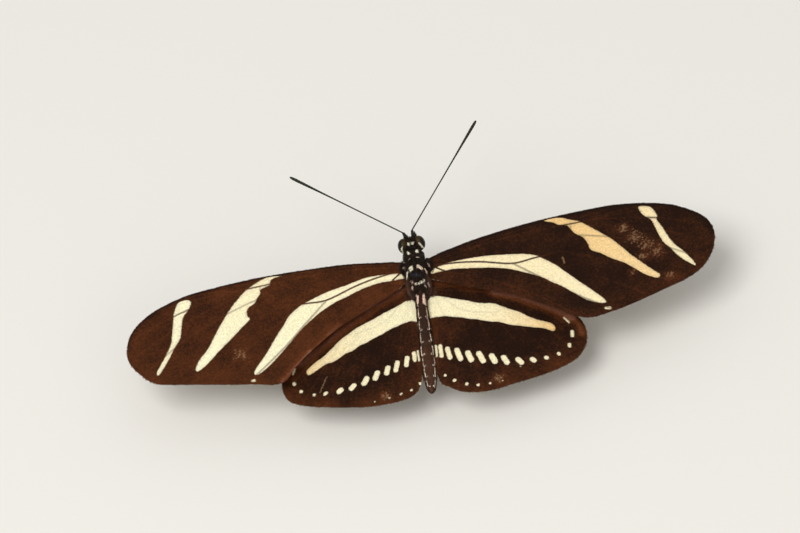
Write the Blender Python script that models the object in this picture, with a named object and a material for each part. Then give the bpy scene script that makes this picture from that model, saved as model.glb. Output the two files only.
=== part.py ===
"""A zebra longwing butterfly at life size, basking with its wings spread flat.

It stands on its middle and hind feet, head towards +Y, its right side towards +X.
Every length below is in millimetres, and each finished mesh is scaled to metres.
"""

import math

import bmesh
import bpy
import numpy as np
from mathutils import Matrix, Vector
from mathutils.geometry import delaunay_2d_cdt

MM = 0.001
GAP = 0.3
WELD = 0.0005
END_CROWN = 0.35
LEFT = -1
RIGHT = 1
SIDES = {"left": LEFT, "right": RIGHT}

# The thorax and head lean a little to the butterfly's left, forward of the waist.
WAIST_Y = -4.0
LEAN_PER_MM = 0.06

# Cross-sections: place along the body, middle height, half width, rise above and drop below the middle.
THORAX_SECTIONS = [
    (1.75, 8.35, 0.95, 0.75, 1.00),
    (1.30, 8.30, 1.45, 1.35, 1.70),
    (0.40, 8.15, 1.85, 1.95, 2.35),
    (-0.90, 8.00, 2.05, 2.35, 2.70),
    (-2.10, 7.95, 2.05, 2.35, 2.75),
    (-3.00, 7.90, 1.90, 2.00, 2.60),
    (-3.35, 7.90, 1.85, 1.85, 2.50),
    (-3.95, 7.85, 1.70, 1.95, 2.20),
    (-4.70, 7.80, 1.30, 1.35, 1.60),
    (-5.10, 7.75, 0.85, 0.80, 0.95),
]
TEGULA_PLACE = (1.72, 0.15, 9.20)
TEGULA_SIZE = (0.55, 1.05, 0.48)
TEGULA_TURN = math.radians(10.0)
COXA_PLACES = [(0.74, -0.95, 5.85), (0.70, -3.05, 5.95)]
COXA_SIZE = (0.56, 0.72, 0.86)

# The collar between head and thorax, its two raised lobes and the roots of the front legs.
NECK_SECTIONS = [
    (3.60, 8.25, 0.95, 0.80, 1.00),
    (3.10, 8.30, 1.38, 1.02, 1.30),
    (2.50, 8.35, 1.66, 1.15, 1.55),
    (1.80, 8.35, 1.64, 1.12, 1.55),
    (1.20, 8.30, 1.15, 0.85, 1.15),
]
COLLAR_PLACE = (0.66, 2.55, 9.00)
COLLAR_SIZE = (0.66, 0.72, 0.56)
FRONT_COXA_PLACE = (0.55, 2.35, 6.95)
FRONT_COXA_SIZE = (0.40, 0.52, 0.62)

ABDOMEN_SECTIONS = [
    (-4.50, 7.70, 0.80, 0.80, 0.80),
    (-5.40, 7.65, 0.92, 0.95, 1.00),
    (-7.20, 7.40, 0.96, 1.00, 1.08),
    (-9.60, 7.00, 1.03, 1.06, 1.18),
    (-12.0, 6.58, 1.14, 1.15, 1.27),
    (-14.4, 6.15, 1.22, 1.20, 1.30),
    (-16.4, 5.80, 1.18, 1.14, 1.20),
    (-18.2, 5.50, 0.96, 0.92, 0.96),
    (-19.4, 5.30, 0.64, 0.60, 0.64),
    (-19.9, 5.24, 0.32, 0.30, 0.32),
]
ABDOMEN_JOINTS = [-6.6, -8.6, -10.6, -12.6, -14.5, -16.3, -17.9]
JOINT_DEPTH = 0.08
JOINT_WIDTH = 0.32

# The head capsule, with the eyes set into its sides.
HEAD_CENTRE = Vector((-0.51, 4.55, 8.25))
HEAD_YAW = math.radians(3.5)
HEAD_HALF = Vector((1.25, 1.12, 1.35))
FACE_PLACE = (0.0, 0.42, -0.35)
FACE_SIZE = (0.92, 0.98, 0.95)
EYE_OFFSET = Vector((1.14, 0.12, 0.10))
EYE_HALF = Vector((0.86, 1.02, 1.20))
EYE_TILT = math.radians(14.0)
SOCKET_PLACE = Vector((0.50, 0.78, 1.02))
SOCKET_RADIUS = 0.34
SOCKET_FOOT = 0.6
SOCKET_FLARE = 1.15

# Feelers: a stout base segment on the brow, then a straight shaft to a slender club.
BASE_SEGMENT_TIP = {"left": (-0.84, 1.20, 1.72), "right": (0.50, 1.33, 1.75)}
BASE_SEGMENT_RADII = [0.32, 0.34, 0.32, 0.28]
ANTENNA_LENGTH = 18.54
ANTENNA_RISE = {"left": math.radians(14.0), "right": math.radians(18.0)}
ANTENNA_TURN = {"left": math.radians(56.6), "right": math.radians(39.7)}
ANTENNA_PROFILE = [
    (0.025, 0.25), (0.40, 0.25), (0.70, 0.25),
    (0.80, 0.27), (0.87, 0.32), (0.93, 0.35), (0.97, 0.31), (1.000, 0.17),
]

PALP_PATH = [(0.78, 0.45, -0.95), (0.82, 1.25, -0.62), (0.80, 1.62, -0.02), (0.76, 1.80, 0.62)]
PALP_RADII = [0.34, 0.36, 0.32, 0.18]

COIL_CENTRE = (0.30, -2.25)
COIL_OUTER = 1.30
COIL_INNER = 0.34
COIL_TURNS = 1.45
COIL_START = math.radians(96.0)
COIL_RADII = [0.26, 0.26, 0.21]
COIL_STEPS = 34

# Legs on the right side; the left ones are mirrored. Each point is where a leg bends.
WALKING_LEGS = {
    "midleg": [(0.90, -0.75, 5.55), (4.60, 1.55, 5.05), (6.15, 3.40, 0.30), (7.40, 6.20, 0.20)],
    "hindleg": [(0.85, -3.25, 5.60), (4.45, -5.60, 4.75), (6.30, -9.00, 0.30), (7.20, -12.2, 0.20)],
}
FEMUR_RADII = [0.42, 0.46, 0.40, 0.30]
TIBIA_RADII = [0.30, 0.29, 0.27, 0.27]
TARSUS_RADII = [0.27, 0.26, 0.26, 0.25]
HEEL_SHARE = 0.08
KNEE_KNOB = 0.15
SOLE_HEIGHT = 0.0
BRUSH_FOOT = [(0.62, 2.45, 6.75), (1.20, 3.30, 5.95), (0.98, 1.95, 5.35)]
BRUSH_FEMUR_RADII = [0.36, 0.36, 0.30]
BRUSH_TIBIA_RADII = [0.32, 0.36, 0.20]

# Wings are drawn flat, outward from the hinge (u) and forward of it (v), then set at their angles.
MEMBRANE = 0.5
VEIN_RISE = 0.26
VEIN_UNDER = 0.12
VEIN_HALF_WIDTH = 0.30
VEIN_FADE = 0.35
VEIN_END_GAP = 0.7
VEIN_LINE_END_GAP = 0.42
VEIN_SIDE_GAP = 0.255
VEIN_STEP = 2.2
MARGIN_STEP = 1.6
FIELD_STEP = 3.0
FIELD_GAP = 1.2
INCIDENCE = math.radians(4.7)

FOREWING = {
    "hinge": (2.1, 0.0, 8.62),
    "lift": math.radians(2.0),
    "sweep": {"left": math.radians(3.1), "right": math.radians(-3.1)},
    "span": 40.2,
    "beside": ["thorax", "neck"],
    "arch": 0.35,
    "outline": {
        "left": [
            (-0.9, 0.98), (3.8, 1.92), (8.5, 2.55), (14.5, 2.8), (20.3, 2.9), (26.3, 2.62), (31, 2.13),
            (34.6, 1.08), (37.4, -0.38), (39.3, -2.3), (40.2, -4.6), (40.2, -6.9), (38.9, -9.4),
            (36.6, -11.6), (31.3, -12.94), (26.8, -13.98), (22.8, -14.82), (20.4, -15.42), (18.7, -15.08),
            (17.3, -13.35), (14.5, -10.85), (10.7, -8.11), (7, -6.18), (3.4, -4.34), (0.6, -2.79),
            (-0.9, -1.62),
        ],
        "right": [
            (-0.9, 0.98), (3.8, 2.15), (8.5, 2.78), (14.5, 3.18), (20.3, 3.24), (26.3, 3.05), (31, 2.27),
            (34.6, 1.1), (37.4, -0.62), (39.2, -2.5), (39.9, -4.8), (39.4, -7.3), (37.8, -9.9),
            (35.2, -11.65), (31, -12.87), (26.8, -14), (22.8, -14.7), (20.3, -14.75), (18.4, -13.9),
            (16.9, -12.6), (14.5, -10.8), (10.7, -8.11), (7, -6.18), (3.4, -4.34), (0.6, -2.79),
            (-0.9, -1.62),
        ],
    },
    "veins": {
        "subcosta": [(-0.5, 0.62), (5.0, 1.74), (10.0, 2.16), (16.5, 2.5)],
        "radius": [(-0.5, 0.3), (5.0, 1.16), (10.0, 1.55), (15.0, 1.62), (19.5, 1.42), (24.0, 1.3)],
        "radius_1": [(13.0, 1.62), (17.0, 2.1), (21.5, 2.52)],
        "radius_2": [(18.0, 1.5), (22.0, 2.12), (26.0, 2.4)],
        "radius_3": [(24.0, 1.3), (27.5, 1.84), (31.0, 1.82)],
        "radius_4": [(24.0, 1.3), (29.5, 1.22), (35.3, 0.52)],
        "radius_5": [(24.0, 1.3), (32.5, -0.73), (39.1, -3.51)],
        "media_1": [(20.4, 1.11), (26.5, -0.53), (32.5, -2.83), (39.5, -6.6)],
        "media_2": [(20.0, -0.45), (26.2, -2.54), (32.4, -5.63), (38.0, -9.5)],
        "media_3": [(18.5, -2.87), (26.6, -7.23), (34.6, -11.8)],
        "cubitus": [
            (-0.5, -0.15), (2.4, -0.45), (4.8, -0.9), (7.3, -1.6), (11.3, -3.0), (14.5, -2.95), (18.5, -2.87),
        ],
        "cubitus_1": [(14.5, -2.95), (22.0, -7.95), (29.1, -13.15)],
        "cubitus_2": [(11.3, -3.0), (14.9, -6.5), (18.4, -9.9), (23.7, -14.3)],
        "cell_end": [(20.4, 1.11), (20.0, -0.45), (18.5, -2.87)],
        "anal": [(-0.5, -0.81), (6.0, -3.79), (12.5, -8.18), (19.3, -14.36)],
    },
}

HINDWING = {
    "hinge": (1.9, -3.4, 7.22),
    "lift": math.radians(-1.5),
    "sweep": {"left": 0.0, "right": 0.0},
    "span": 20.2,
    "beside": ["thorax", "abdomen"],
    "arch": 0.25,
    "outline": {
        "left": [
            (-0.9, 1.6), (0.8, 2.4), (3, 2.4), (6, 1.2), (10, -1.2), (14.3, -4.2), (17.2, -7.3),
            (18.5, -9.9), (18.87, -12.2), (18.2, -14.3), (16.2, -15.6), (13.2, -16.5), (9.6, -17.3),
            (6.7, -17.7), (4.5, -17.72), (2.2, -17.5), (0.5, -16.85), (-0.35, -15.6), (-0.75, -13.6),
            (-0.85, -9), (-0.85, -5), (-0.9, -1.2),
        ],
        "right": [
            (-0.9, 1.6), (0.8, 2.4), (3, 2.4), (6, 1.2), (10, -1.2), (15.2, -4.2), (18.9, -7.15),
            (20.3, -9.4), (20.4, -12), (19.1, -14.4), (16.6, -15.9), (13.2, -16.9), (9.6, -17.6),
            (6.7, -18.1), (4.5, -18.05), (2.2, -17.5), (0.6, -16.4), (-0.35, -15.6), (-0.75, -13.6),
            (-0.85, -9), (-0.85, -5), (-0.9, -1.2),
        ],
    },
    "veins": {
        "costa": [(-0.5, 0.33), (5.5, -0.35), (11.5, -2.74), (17.2, -7.3)],
        "radial_sector": [(-0.5, 0.08), (7.8, -2.1), (14.0, -5.8), (19.6, -10.45)],
        "media_1": [(9.4, -3.6), (13.6, -7.77), (18.9, -13.51)],
        "media_2": [(9.2, -5.09), (12.6, -10.01), (16.2, -15.44)],
        "media_3": [(7.6, -5.39), (10.3, -10.26), (13.0, -16.43)],
        "cell_end": [(7.8, -2.1), (9.4, -3.6), (9.2, -5.09), (7.6, -5.39)],
        "cubitus": [(-0.5, -0.22), (1.0, -1.35), (2.0, -2.6), (3.1, -3.8), (5.2, -4.8), (7.6, -5.39)],
        "cubitus_1": [(5.2, -4.8), (7.3, -10.77), (9.0, -17.28)],
        "cubitus_2": [(3.1, -3.8), (4.2, -9.77), (5.2, -17.53)],
        "anal": [(-0.3, -0.88), (1.3, -5.58), (1.8, -11.52), (2.0, -17.03)],
    },
}

DARK_BROWN = (0.030, 0.013, 0.007)
BODY_BLACK = (0.016, 0.010, 0.008)
EYE_OLIVE = (0.028, 0.030, 0.010)
FEELER_BLACK = (0.012, 0.012, 0.009)


def clear_scene():
    for item in list(bpy.data.objects):
        bpy.data.objects.remove(item, do_unlink=True)


def midline(y):
    """Where the middle of the body lies across, at a place along it."""
    return -LEAN_PER_MM * max(0.0, y - WAIST_Y)


def smooth_curve(points, per_span, closed=False):
    """A smooth run of points through the given ones, for rows of any length."""
    pts = np.array(points, dtype=float)
    count = len(pts)
    curve = []
    for i in range(count if closed else count - 1):
        p1 = pts[i]
        p2 = pts[(i + 1) % count]
        p0 = pts[i - 1] if closed or i > 0 else p1
        p3 = pts[(i + 2) % count] if closed or i + 2 < count else p2
        for k in range(per_span):
            t = k / per_span
            curve.append(
                0.5 * (2 * p1 + (p2 - p0) * t + (2 * p0 - 5 * p1 + 4 * p2 - p3) * t ** 2
                       + (3 * p1 - p0 - 3 * p2 + p3) * t ** 3)
            )
    if not closed:
        curve.append(pts[-1])
    return np.array(curve)


def even_steps(curve, step, closed=False):
    """The curve again, with its points a steady step apart."""
    path = np.vstack([curve, curve[:1]]) if closed else curve
    reach = np.concatenate([[0.0], np.cumsum(np.linalg.norm(np.diff(path, axis=0), axis=1))])
    count = max(2, round(reach[-1] / step))
    goals = np.linspace(0.0, reach[-1], count + 1)
    if closed:
        goals = goals[:-1]
    return np.column_stack([np.interp(goals, reach, path[:, k]) for k in range(path.shape[1])])


def new_object(name, bm):
    """A bmesh of one closed surface as an object with its faces pointing out."""
    bmesh.ops.recalc_face_normals(bm, faces=bm.faces)
    mesh = bpy.data.meshes.new(name)
    bm.to_mesh(mesh)
    bm.free()
    item = bpy.data.objects.new(name, mesh)
    bpy.context.scene.collection.objects.link(item)
    return item


def skin_rings(name, rings, tips):
    """A closed skin over rings of points, drawn to a point past each end ring."""
    bm = bmesh.new()
    loops = []
    for ring in rings:
        verts = [bm.verts.new(p) for p in ring]
        edges = [bm.edges.new((a, b)) for a, b in zip(verts, verts[1:] + verts[:1])]
        loops.append((verts, edges))
    for (_, first), (_, second) in zip(loops, loops[1:]):
        bmesh.ops.bridge_loops(bm, edges=first + second)
    for (verts, _), tip in zip((loops[0], loops[-1]), tips):
        point = bm.verts.new(tip)
        for a, b in zip(verts, verts[1:] + verts[:1]):
            bm.faces.new((a, b, point))
    return new_object(name, bm)


def body_length(name, sections, sides, per_span, grow=0.0, joints=()):
    """A length of body skinned over its cross-sections; grow makes it fatter all round."""
    rows = smooth_curve(sections, per_span)
    rings = []
    for y, z, half, rise, drop in rows:
        pinch = sum(JOINT_DEPTH * math.exp(-(((y - j) / JOINT_WIDTH) ** 2)) for j in joints)
        ring = []
        for i in range(sides):
            a = 2 * math.pi * i / sides
            high = (rise if math.sin(a) > 0 else drop) + grow - pinch
            across = midline(y) + (half + grow - pinch) * math.cos(a)
            ring.append(Vector((across, y, z + high * math.sin(a))))
        rings.append(ring)
    tips = []
    for row, way in ((rows[0], 1), (rows[-1], -1)):
        y = row[0] + way * (END_CROWN * row[2] + grow)
        tips.append(Vector((midline(y), y, row[1])))
    return skin_rings(name, rings, tips)


def tube(name, path, radii, sides=8, floor=None):
    """A round tube along a path, its radii spread evenly along it; floor flattens its underside."""
    points = [Vector(p) for p in path]
    spread = np.interp(np.linspace(0, 1, len(points)), np.linspace(0, 1, len(radii)), radii)
    ways = [(points[min(i + 1, len(points) - 1)] - points[max(i - 1, 0)]).normalized() for i in range(len(points))]
    across = ways[0].orthogonal().normalized()
    rings = []
    for point, way, radius in zip(points, ways, spread):
        across = (across - way * across.dot(way)).normalized()
        up = way.cross(across)
        rings.append([
            point + (across * math.cos(a) + up * math.sin(a)) * radius
            for a in (2 * math.pi * i / sides for i in range(sides))
        ])
    tips = (points[0] - ways[0] * spread[0] * END_CROWN, points[-1] + ways[-1] * spread[-1] * END_CROWN)
    item = skin_rings(name, rings, tips)
    if floor is not None:
        for vert in item.data.vertices:
            vert.co.z = max(vert.co.z, floor)
    return item


def ellipsoid(name, centre, half, turn=None, rings=10, sides=16, grow=0.0):
    """A ball stretched to half sizes about its centre, then turned."""
    bm = bmesh.new()
    bmesh.ops.create_uvsphere(bm, u_segments=sides, v_segments=rings, radius=1.0)
    size = Matrix.Diagonal((half[0] + grow, half[1] + grow, half[2] + grow, 1.0))
    place = Matrix.Translation(centre) @ (turn.to_4x4() if turn else Matrix.Identity(4)) @ size
    bmesh.ops.transform(bm, matrix=place, verts=bm.verts)
    return new_object(name, bm)


def apply_boolean(item, operation, others):
    """Join or cut the object with a collection of closed pieces, which are then removed."""
    group = bpy.data.collections.new(item.name + "_pieces")
    for other in others:
        group.objects.link(other)
    change = item.modifiers.new(operation.lower(), "BOOLEAN")
    change.operation = operation
    change.operand_type = "COLLECTION"
    change.collection = group
    change.solver = "EXACT"
    bpy.context.view_layer.update()
    shape = bpy.data.meshes.new_from_object(item.evaluated_get(bpy.context.evaluated_depsgraph_get()))
    item.modifiers.clear()
    item.data = shape
    for other in list(group.objects):
        bpy.data.objects.remove(other, do_unlink=True)
    bpy.data.collections.remove(group)
    keep_largest(item)
    return item


def keep_largest(item):
    """Drop every closed surface but the largest, and weld points that a cut left together."""
    bm = bmesh.new()
    bm.from_mesh(item.data)
    bmesh.ops.remove_doubles(bm, verts=bm.verts, dist=WELD)
    seen = set()
    pieces = []
    for start in bm.faces:
        if start in seen:
            continue
        piece = [start]
        seen.add(start)
        for face in piece:
            for edge in face.edges:
                for other in edge.link_faces:
                    if other not in seen:
                        seen.add(other)
                        piece.append(other)
        pieces.append(piece)
    pieces.sort(key=lambda piece: sum(face.calc_area() for face in piece))
    for piece in pieces[:-1]:
        bmesh.ops.delete(bm, geom=piece, context="FACES")
    loose = [vert for vert in bm.verts if not vert.link_faces]
    bmesh.ops.delete(bm, geom=loose, context="VERTS")
    bm.to_mesh(item.data)
    bm.free()


def finish(item, name, colour, roughness):
    """Scale the shape to metres, split it into triangles and give it its own material."""
    bm = bmesh.new()
    bm.from_mesh(item.data)
    bmesh.ops.triangulate(bm, faces=bm.faces)
    bmesh.ops.scale(bm, vec=(MM, MM, MM), verts=bm.verts)
    bm.to_mesh(item.data)
    bm.free()
    item.name = name
    item.data.name = name
    item.data.shade_smooth()
    item.data.set_sharp_from_angle(angle=math.radians(50))
    finish_of = bpy.data.materials.new(name)
    finish_of.use_nodes = True
    shader = finish_of.node_tree.nodes["Principled BSDF"]
    shader.inputs["Base Color"].default_value = (*colour, 1.0)
    shader.inputs["Roughness"].default_value = roughness
    shader.inputs["Metallic"].default_value = 0.0
    item.data.materials.clear()
    item.data.materials.append(finish_of)
    return item


def lobe(side, place, half, grow, turn=None):
    """A rounded swelling at a place on one side of the body's midline."""
    across, along, up = place
    return ellipsoid("lobe", Vector((side * across + midline(along), along, up)), half, turn, 8, 12, grow)


def thorax(grow=0.0):
    """The wing-bearing middle of the body: a flap over each forewing base, a hip over each leg."""
    item = body_length("thorax", THORAX_SECTIONS, 24, 2, grow)
    lobes = []
    for side in SIDES.values():
        turn = Matrix.Rotation(side * TEGULA_TURN, 3, "Z")
        lobes.append(lobe(side, TEGULA_PLACE, TEGULA_SIZE, grow, turn))
        lobes += [lobe(side, place, COXA_SIZE, grow) for place in COXA_PLACES]
    return apply_boolean(item, "UNION", lobes)


def neck(grow=0.0):
    item = body_length("neck", NECK_SECTIONS, 18, 2, grow)
    lobes = []
    for side in SIDES.values():
        lobes.append(lobe(side, COLLAR_PLACE, COLLAR_SIZE, grow))
        lobes.append(lobe(side, FRONT_COXA_PLACE, FRONT_COXA_SIZE, grow))
    return apply_boolean(item, "UNION", lobes)


def abdomen(grow=0.0):
    joints = () if grow else ABDOMEN_JOINTS
    return body_length("abdomen", ABDOMEN_SECTIONS, 18, 3, grow, joints)


def head_turn():
    return Matrix.Rotation(HEAD_YAW, 3, "Z")


def on_head(x, y, z):
    """A place given in the head's own directions."""
    return HEAD_CENTRE + head_turn() @ Vector((x, y, z))


def head_ball(grow=0.0):
    """The head capsule: a ball, a full face in front and a raised socket for each feeler."""
    item = ellipsoid("head", HEAD_CENTRE, HEAD_HALF, head_turn(), 12, 20, grow)
    pieces = [ellipsoid("face", on_head(*FACE_PLACE), FACE_SIZE, head_turn(), 10, 16, grow)]
    for side in SIDES.values():
        x, y, z = SOCKET_PLACE
        foot = on_head(*(Vector((side * x, y, z)) * SOCKET_FOOT))
        rim = on_head(side * x, y, z)
        radius = SOCKET_RADIUS + grow
        pieces.append(tube("socket", [foot, rim], [radius * SOCKET_FLARE, radius], 12))
    return apply_boolean(item, "UNION", pieces)


def eye(side):
    """A domed eye, cut to a bowl that fits round the head with the usual gap."""
    x, y, z = EYE_OFFSET
    turn = head_turn() @ Matrix.Rotation(side * EYE_TILT, 3, "Z")
    item = ellipsoid("eye", on_head(side * x, y, z), EYE_HALF, turn, 14, 20)
    return apply_boolean(item, "DIFFERENCE", [head_ball(GAP)])


def antenna(name):
    """One feeler: a stout base segment in its socket, a straight shaft and a slim club."""
    side = SIDES[name]
    x, y, z = SOCKET_PLACE
    root = on_head(side * x, y, z)
    bend = on_head(*BASE_SEGMENT_TIP[name])
    base = even_path(root - (bend - root).normalized() * GAP, bend, len(BASE_SEGMENT_RADII))
    turn, rise = ANTENNA_TURN[name], ANTENNA_RISE[name]
    flat = math.cos(rise)
    way = Vector((side * math.sin(turn) * flat, math.cos(turn) * flat, math.sin(rise)))
    shaft = [bend + way * ANTENNA_LENGTH * share for share, _ in ANTENNA_PROFILE]
    radii = BASE_SEGMENT_RADII + [radius for _, radius in ANTENNA_PROFILE]
    item = tube("antenna", base + shaft, radii, 10)
    return apply_boolean(item, "DIFFERENCE", [head_ball(GAP)])


def palp(side):
    """A scaled mouth feeler that curves up in front of the face."""
    path = smooth_curve([on_head(side * x, y, z) for x, y, z in PALP_PATH], 3)
    item = tube("palp", path, PALP_RADII, 10)
    return apply_boolean(item, "DIFFERENCE", [head_ball(GAP)])


def proboscis():
    """The sucking tube, rolled up below the face between the palps."""
    path = []
    for i in range(COIL_STEPS + 1):
        share = i / COIL_STEPS
        angle = COIL_START - share * COIL_TURNS * 2 * math.pi
        radius = COIL_OUTER + (COIL_INNER - COIL_OUTER) * share
        y, z = COIL_CENTRE
        path.append(on_head(0.0, y + radius * math.cos(angle), z + radius * math.sin(angle)))
    item = tube("proboscis", path, COIL_RADII, 8)
    return apply_boolean(item, "DIFFERENCE", [head_ball(GAP)])


def walking_leg(name, side):
    """Thigh, shin and foot, the foot flat along the floor."""
    hip, knee, ankle, toe = (Vector((side * x, y, z)) for x, y, z in WALKING_LEGS[name])
    hip.x += midline(hip.y)
    heel = ankle.lerp(toe, -HEEL_SHARE)
    heel.z = toe.z
    knee_bend = knee + (knee - hip).normalized() * KNEE_KNOB
    thigh = tube("thigh", even_path(hip, knee_bend, 4), FEMUR_RADII, 10)
    shin = tube("shin", even_path(knee, ankle, 4), TIBIA_RADII, 10, SOLE_HEIGHT)
    foot = tube("foot", even_path(heel, toe, 6), TARSUS_RADII, 10, SOLE_HEIGHT)
    item = apply_boolean(thigh, "UNION", [shin, foot])
    return apply_boolean(item, "DIFFERENCE", [thorax(GAP)])


def even_path(start, end, count):
    return [start.lerp(end, i / (count - 1)) for i in range(count)]


def brush_foot(side):
    """The short front leg that a brush-footed butterfly keeps folded under its collar."""
    hip, knee, tip = (Vector((side * x + midline(y), y, z)) for x, y, z in BRUSH_FOOT)
    thigh = tube("thigh", even_path(hip, knee, 3), BRUSH_FEMUR_RADII, 8)
    shin = tube("shin", even_path(knee, tip, 4), BRUSH_TIBIA_RADII, 8)
    item = apply_boolean(thigh, "UNION", [shin])
    item = apply_boolean(item, "DIFFERENCE", [thorax(GAP)])
    return apply_boolean(item, "DIFFERENCE", [neck(GAP)])


def wing_place(wing, name):
    """The matrix that sets a flat wing, drawn outward and forward, at its hinge and angles."""
    side = SIDES[name]
    sweep = wing["sweep"][name]
    across, along, up = wing["hinge"]
    turn = (
        Matrix.Rotation(INCIDENCE, 4, "X")
        @ Matrix.Rotation(-side * wing["lift"], 4, "Y")
        @ Matrix.Rotation(-side * sweep, 4, "Z")
    )
    return Matrix.Translation((side * across, along, up)) @ turn @ Matrix.Diagonal((side, 1.0, 1.0, 1.0))


def wing_arch(wing, u):
    """How far the membrane bows up, as a share of the way to the tip."""
    share = min(max(u / wing["span"], 0.0), 1.0)
    return wing["arch"] * math.sin(math.pi * share)


def distance_to_run(point, run):
    """The distance from a point to a run of points, and how far along the nearest place is."""
    a = run[:-1]
    step = run[1:] - a
    share = np.clip(np.sum((point - a) * step, axis=1) / np.sum(step * step, axis=1), 0.0, 1.0)
    gaps = np.linalg.norm(a + step * share[:, None] - point, axis=1)
    best = int(np.argmin(gaps))
    return gaps[best], (best + share[best]) / len(a)


def vein_ridge(point, runs):
    """How high a vein stands at a point of the membrane, from 0 to 1."""
    height = 0.0
    for run in runs.values():
        gap, share = distance_to_run(point, run)
        height = max(height, (1.0 - gap / VEIN_HALF_WIDTH) * (1.0 - VEIN_FADE * share))
    return height


def inside(point, outline):
    x, y = point
    odd = False
    for (x1, y1), (x2, y2) in zip(outline, np.roll(outline, -1, axis=0)):
        if (y1 > y) != (y2 > y) and x < (x2 - x1) * (y - y1) / (y2 - y1) + x1:
            odd = not odd
    return odd


def wing_net(wing, name):
    """A flat net of triangles whose edges follow the margin and both sides of every vein."""
    outline = even_steps(smooth_curve(wing["outline"][name], 8, closed=True), MARGIN_STEP, closed=True)
    rim = np.vstack([outline, outline[:1]])
    runs = {key: even_steps(smooth_curve(vein, 8), VEIN_STEP) for key, vein in wing["veins"].items()}
    points = [tuple(p) for p in outline]
    edges = [(i, (i + 1) % len(outline)) for i in range(len(outline))]

    def add_run(run, keep):
        last = None
        for p in run:
            if not keep(p):
                last = None
                continue
            points.append(tuple(p))
            if last is not None:
                edges.append((last, len(points) - 1))
            last = len(points) - 1

    def in_field(p, gap):
        return inside(p, outline) and distance_to_run(p, rim)[0] > gap

    for vein, run in runs.items():
        ways = np.gradient(run, axis=0)
        ways /= np.linalg.norm(ways, axis=1)[:, None]
        across = np.column_stack([-ways[:, 1], ways[:, 0]]) * VEIN_HALF_WIDTH
        others = [other for key, other in runs.items() if key != vein]
        add_run(run, lambda p: in_field(p, VEIN_LINE_END_GAP))
        for sign in (-1, 1):
            add_run(run + sign * across, lambda p: in_field(p, VEIN_END_GAP) and all(
                distance_to_run(p, other)[0] > VEIN_SIDE_GAP for other in others))
    low, high = outline.min(axis=0), outline.max(axis=0)
    for i, x in enumerate(np.arange(low[0], high[0], FIELD_STEP)):
        for y in np.arange(low[1] + (i % 2) * FIELD_STEP / 2, high[1], FIELD_STEP):
            p = np.array((x, y))
            if in_field(p, FIELD_GAP) and all(
                    distance_to_run(p, run)[0] > FIELD_GAP for run in runs.values()):
                points.append(tuple(p))
    verts, _, faces, _, _, _ = delaunay_2d_cdt([Vector(p) for p in points], edges, [], 1, WELD)
    return verts, faces, runs


def vane(wing, name):
    """A thin wing whose veins are raised in its own surface, cut clear of the body."""
    verts, faces, runs = wing_net(wing, name)
    bm = bmesh.new()
    upper = [bm.verts.new((p.x, p.y, 0.0)) for p in verts]
    for face in faces:
        bm.faces.new([upper[i] for i in face])
    kept = set(upper)
    bmesh.ops.extrude_face_region(bm, geom=list(bm.faces), use_keep_orig=True)
    for vert in bm.verts:
        u, v = vert.co.x, vert.co.y
        ridge = vein_ridge(np.array((u, v)), runs)
        level = MEMBRANE / 2 + max(0.0, ridge) * (VEIN_RISE if vert in kept else VEIN_UNDER)
        vert.co.z = wing_arch(wing, u) + (level if vert in kept else -level)
    bmesh.ops.transform(bm, matrix=wing_place(wing, name), verts=bm.verts)
    item = new_object("wing", bm)
    for body in wing["beside"]:
        item = apply_boolean(item, "DIFFERENCE", [BODY_SHAPES[body](GAP)])
    return item


def stand_on_origin(items):
    """Shift everything so that the middle of its footprint is the origin."""
    corners = np.array([item.matrix_world @ vert.co for item in items for vert in item.data.vertices])
    middle = (corners.min(axis=0) + corners.max(axis=0)) / 2
    shift = Matrix.Translation((-middle[0], -middle[1], 0.0))
    for item in items:
        item.data.transform(shift)


BODY_SHAPES = {"neck": neck, "thorax": thorax, "abdomen": abdomen}


def build():
    clear_scene()
    items = [
        finish(head_ball(), "head", BODY_BLACK, 0.6),
        finish(apply_boolean(neck(), "DIFFERENCE", [head_ball(GAP), thorax(GAP)]), "neck", BODY_BLACK, 0.7),
        finish(thorax(), "thorax", BODY_BLACK, 0.7),
        finish(apply_boolean(abdomen(), "DIFFERENCE", [thorax(GAP)]), "abdomen", BODY_BLACK, 0.7),
        finish(proboscis(), "proboscis", FEELER_BLACK, 0.4),
    ]
    for name, side in SIDES.items():
        items += [
            finish(eye(side), "eye_" + name, EYE_OLIVE, 0.15),
            finish(antenna(name), "antenna_" + name, FEELER_BLACK, 0.5),
            finish(palp(side), "palp_" + name, BODY_BLACK, 0.7),
            finish(vane(FOREWING, name), "forewing_" + name, DARK_BROWN, 0.6),
            finish(vane(HINDWING, name), "hindwing_" + name, DARK_BROWN, 0.6),
            finish(brush_foot(side), "foreleg_" + name, BODY_BLACK, 0.6),
        ]
        for leg in WALKING_LEGS:
            items.append(finish(walking_leg(leg, side), leg + "_" + name, BODY_BLACK, 0.5))
    stand_on_origin(items)


build()
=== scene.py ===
"""The looks of a zebra longwing butterfly with its wings spread flat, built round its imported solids.

Lengths are in millimetres, with the head towards +Y and the butterfly's right side towards +X.
Each finished mesh is moved to the frame's own origin and scaled to metres.
"""

import math

import bmesh
import bpy
import numpy as np
from bpy.props import FloatProperty, FloatVectorProperty, PointerProperty
from mathutils import Matrix, Vector


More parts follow.
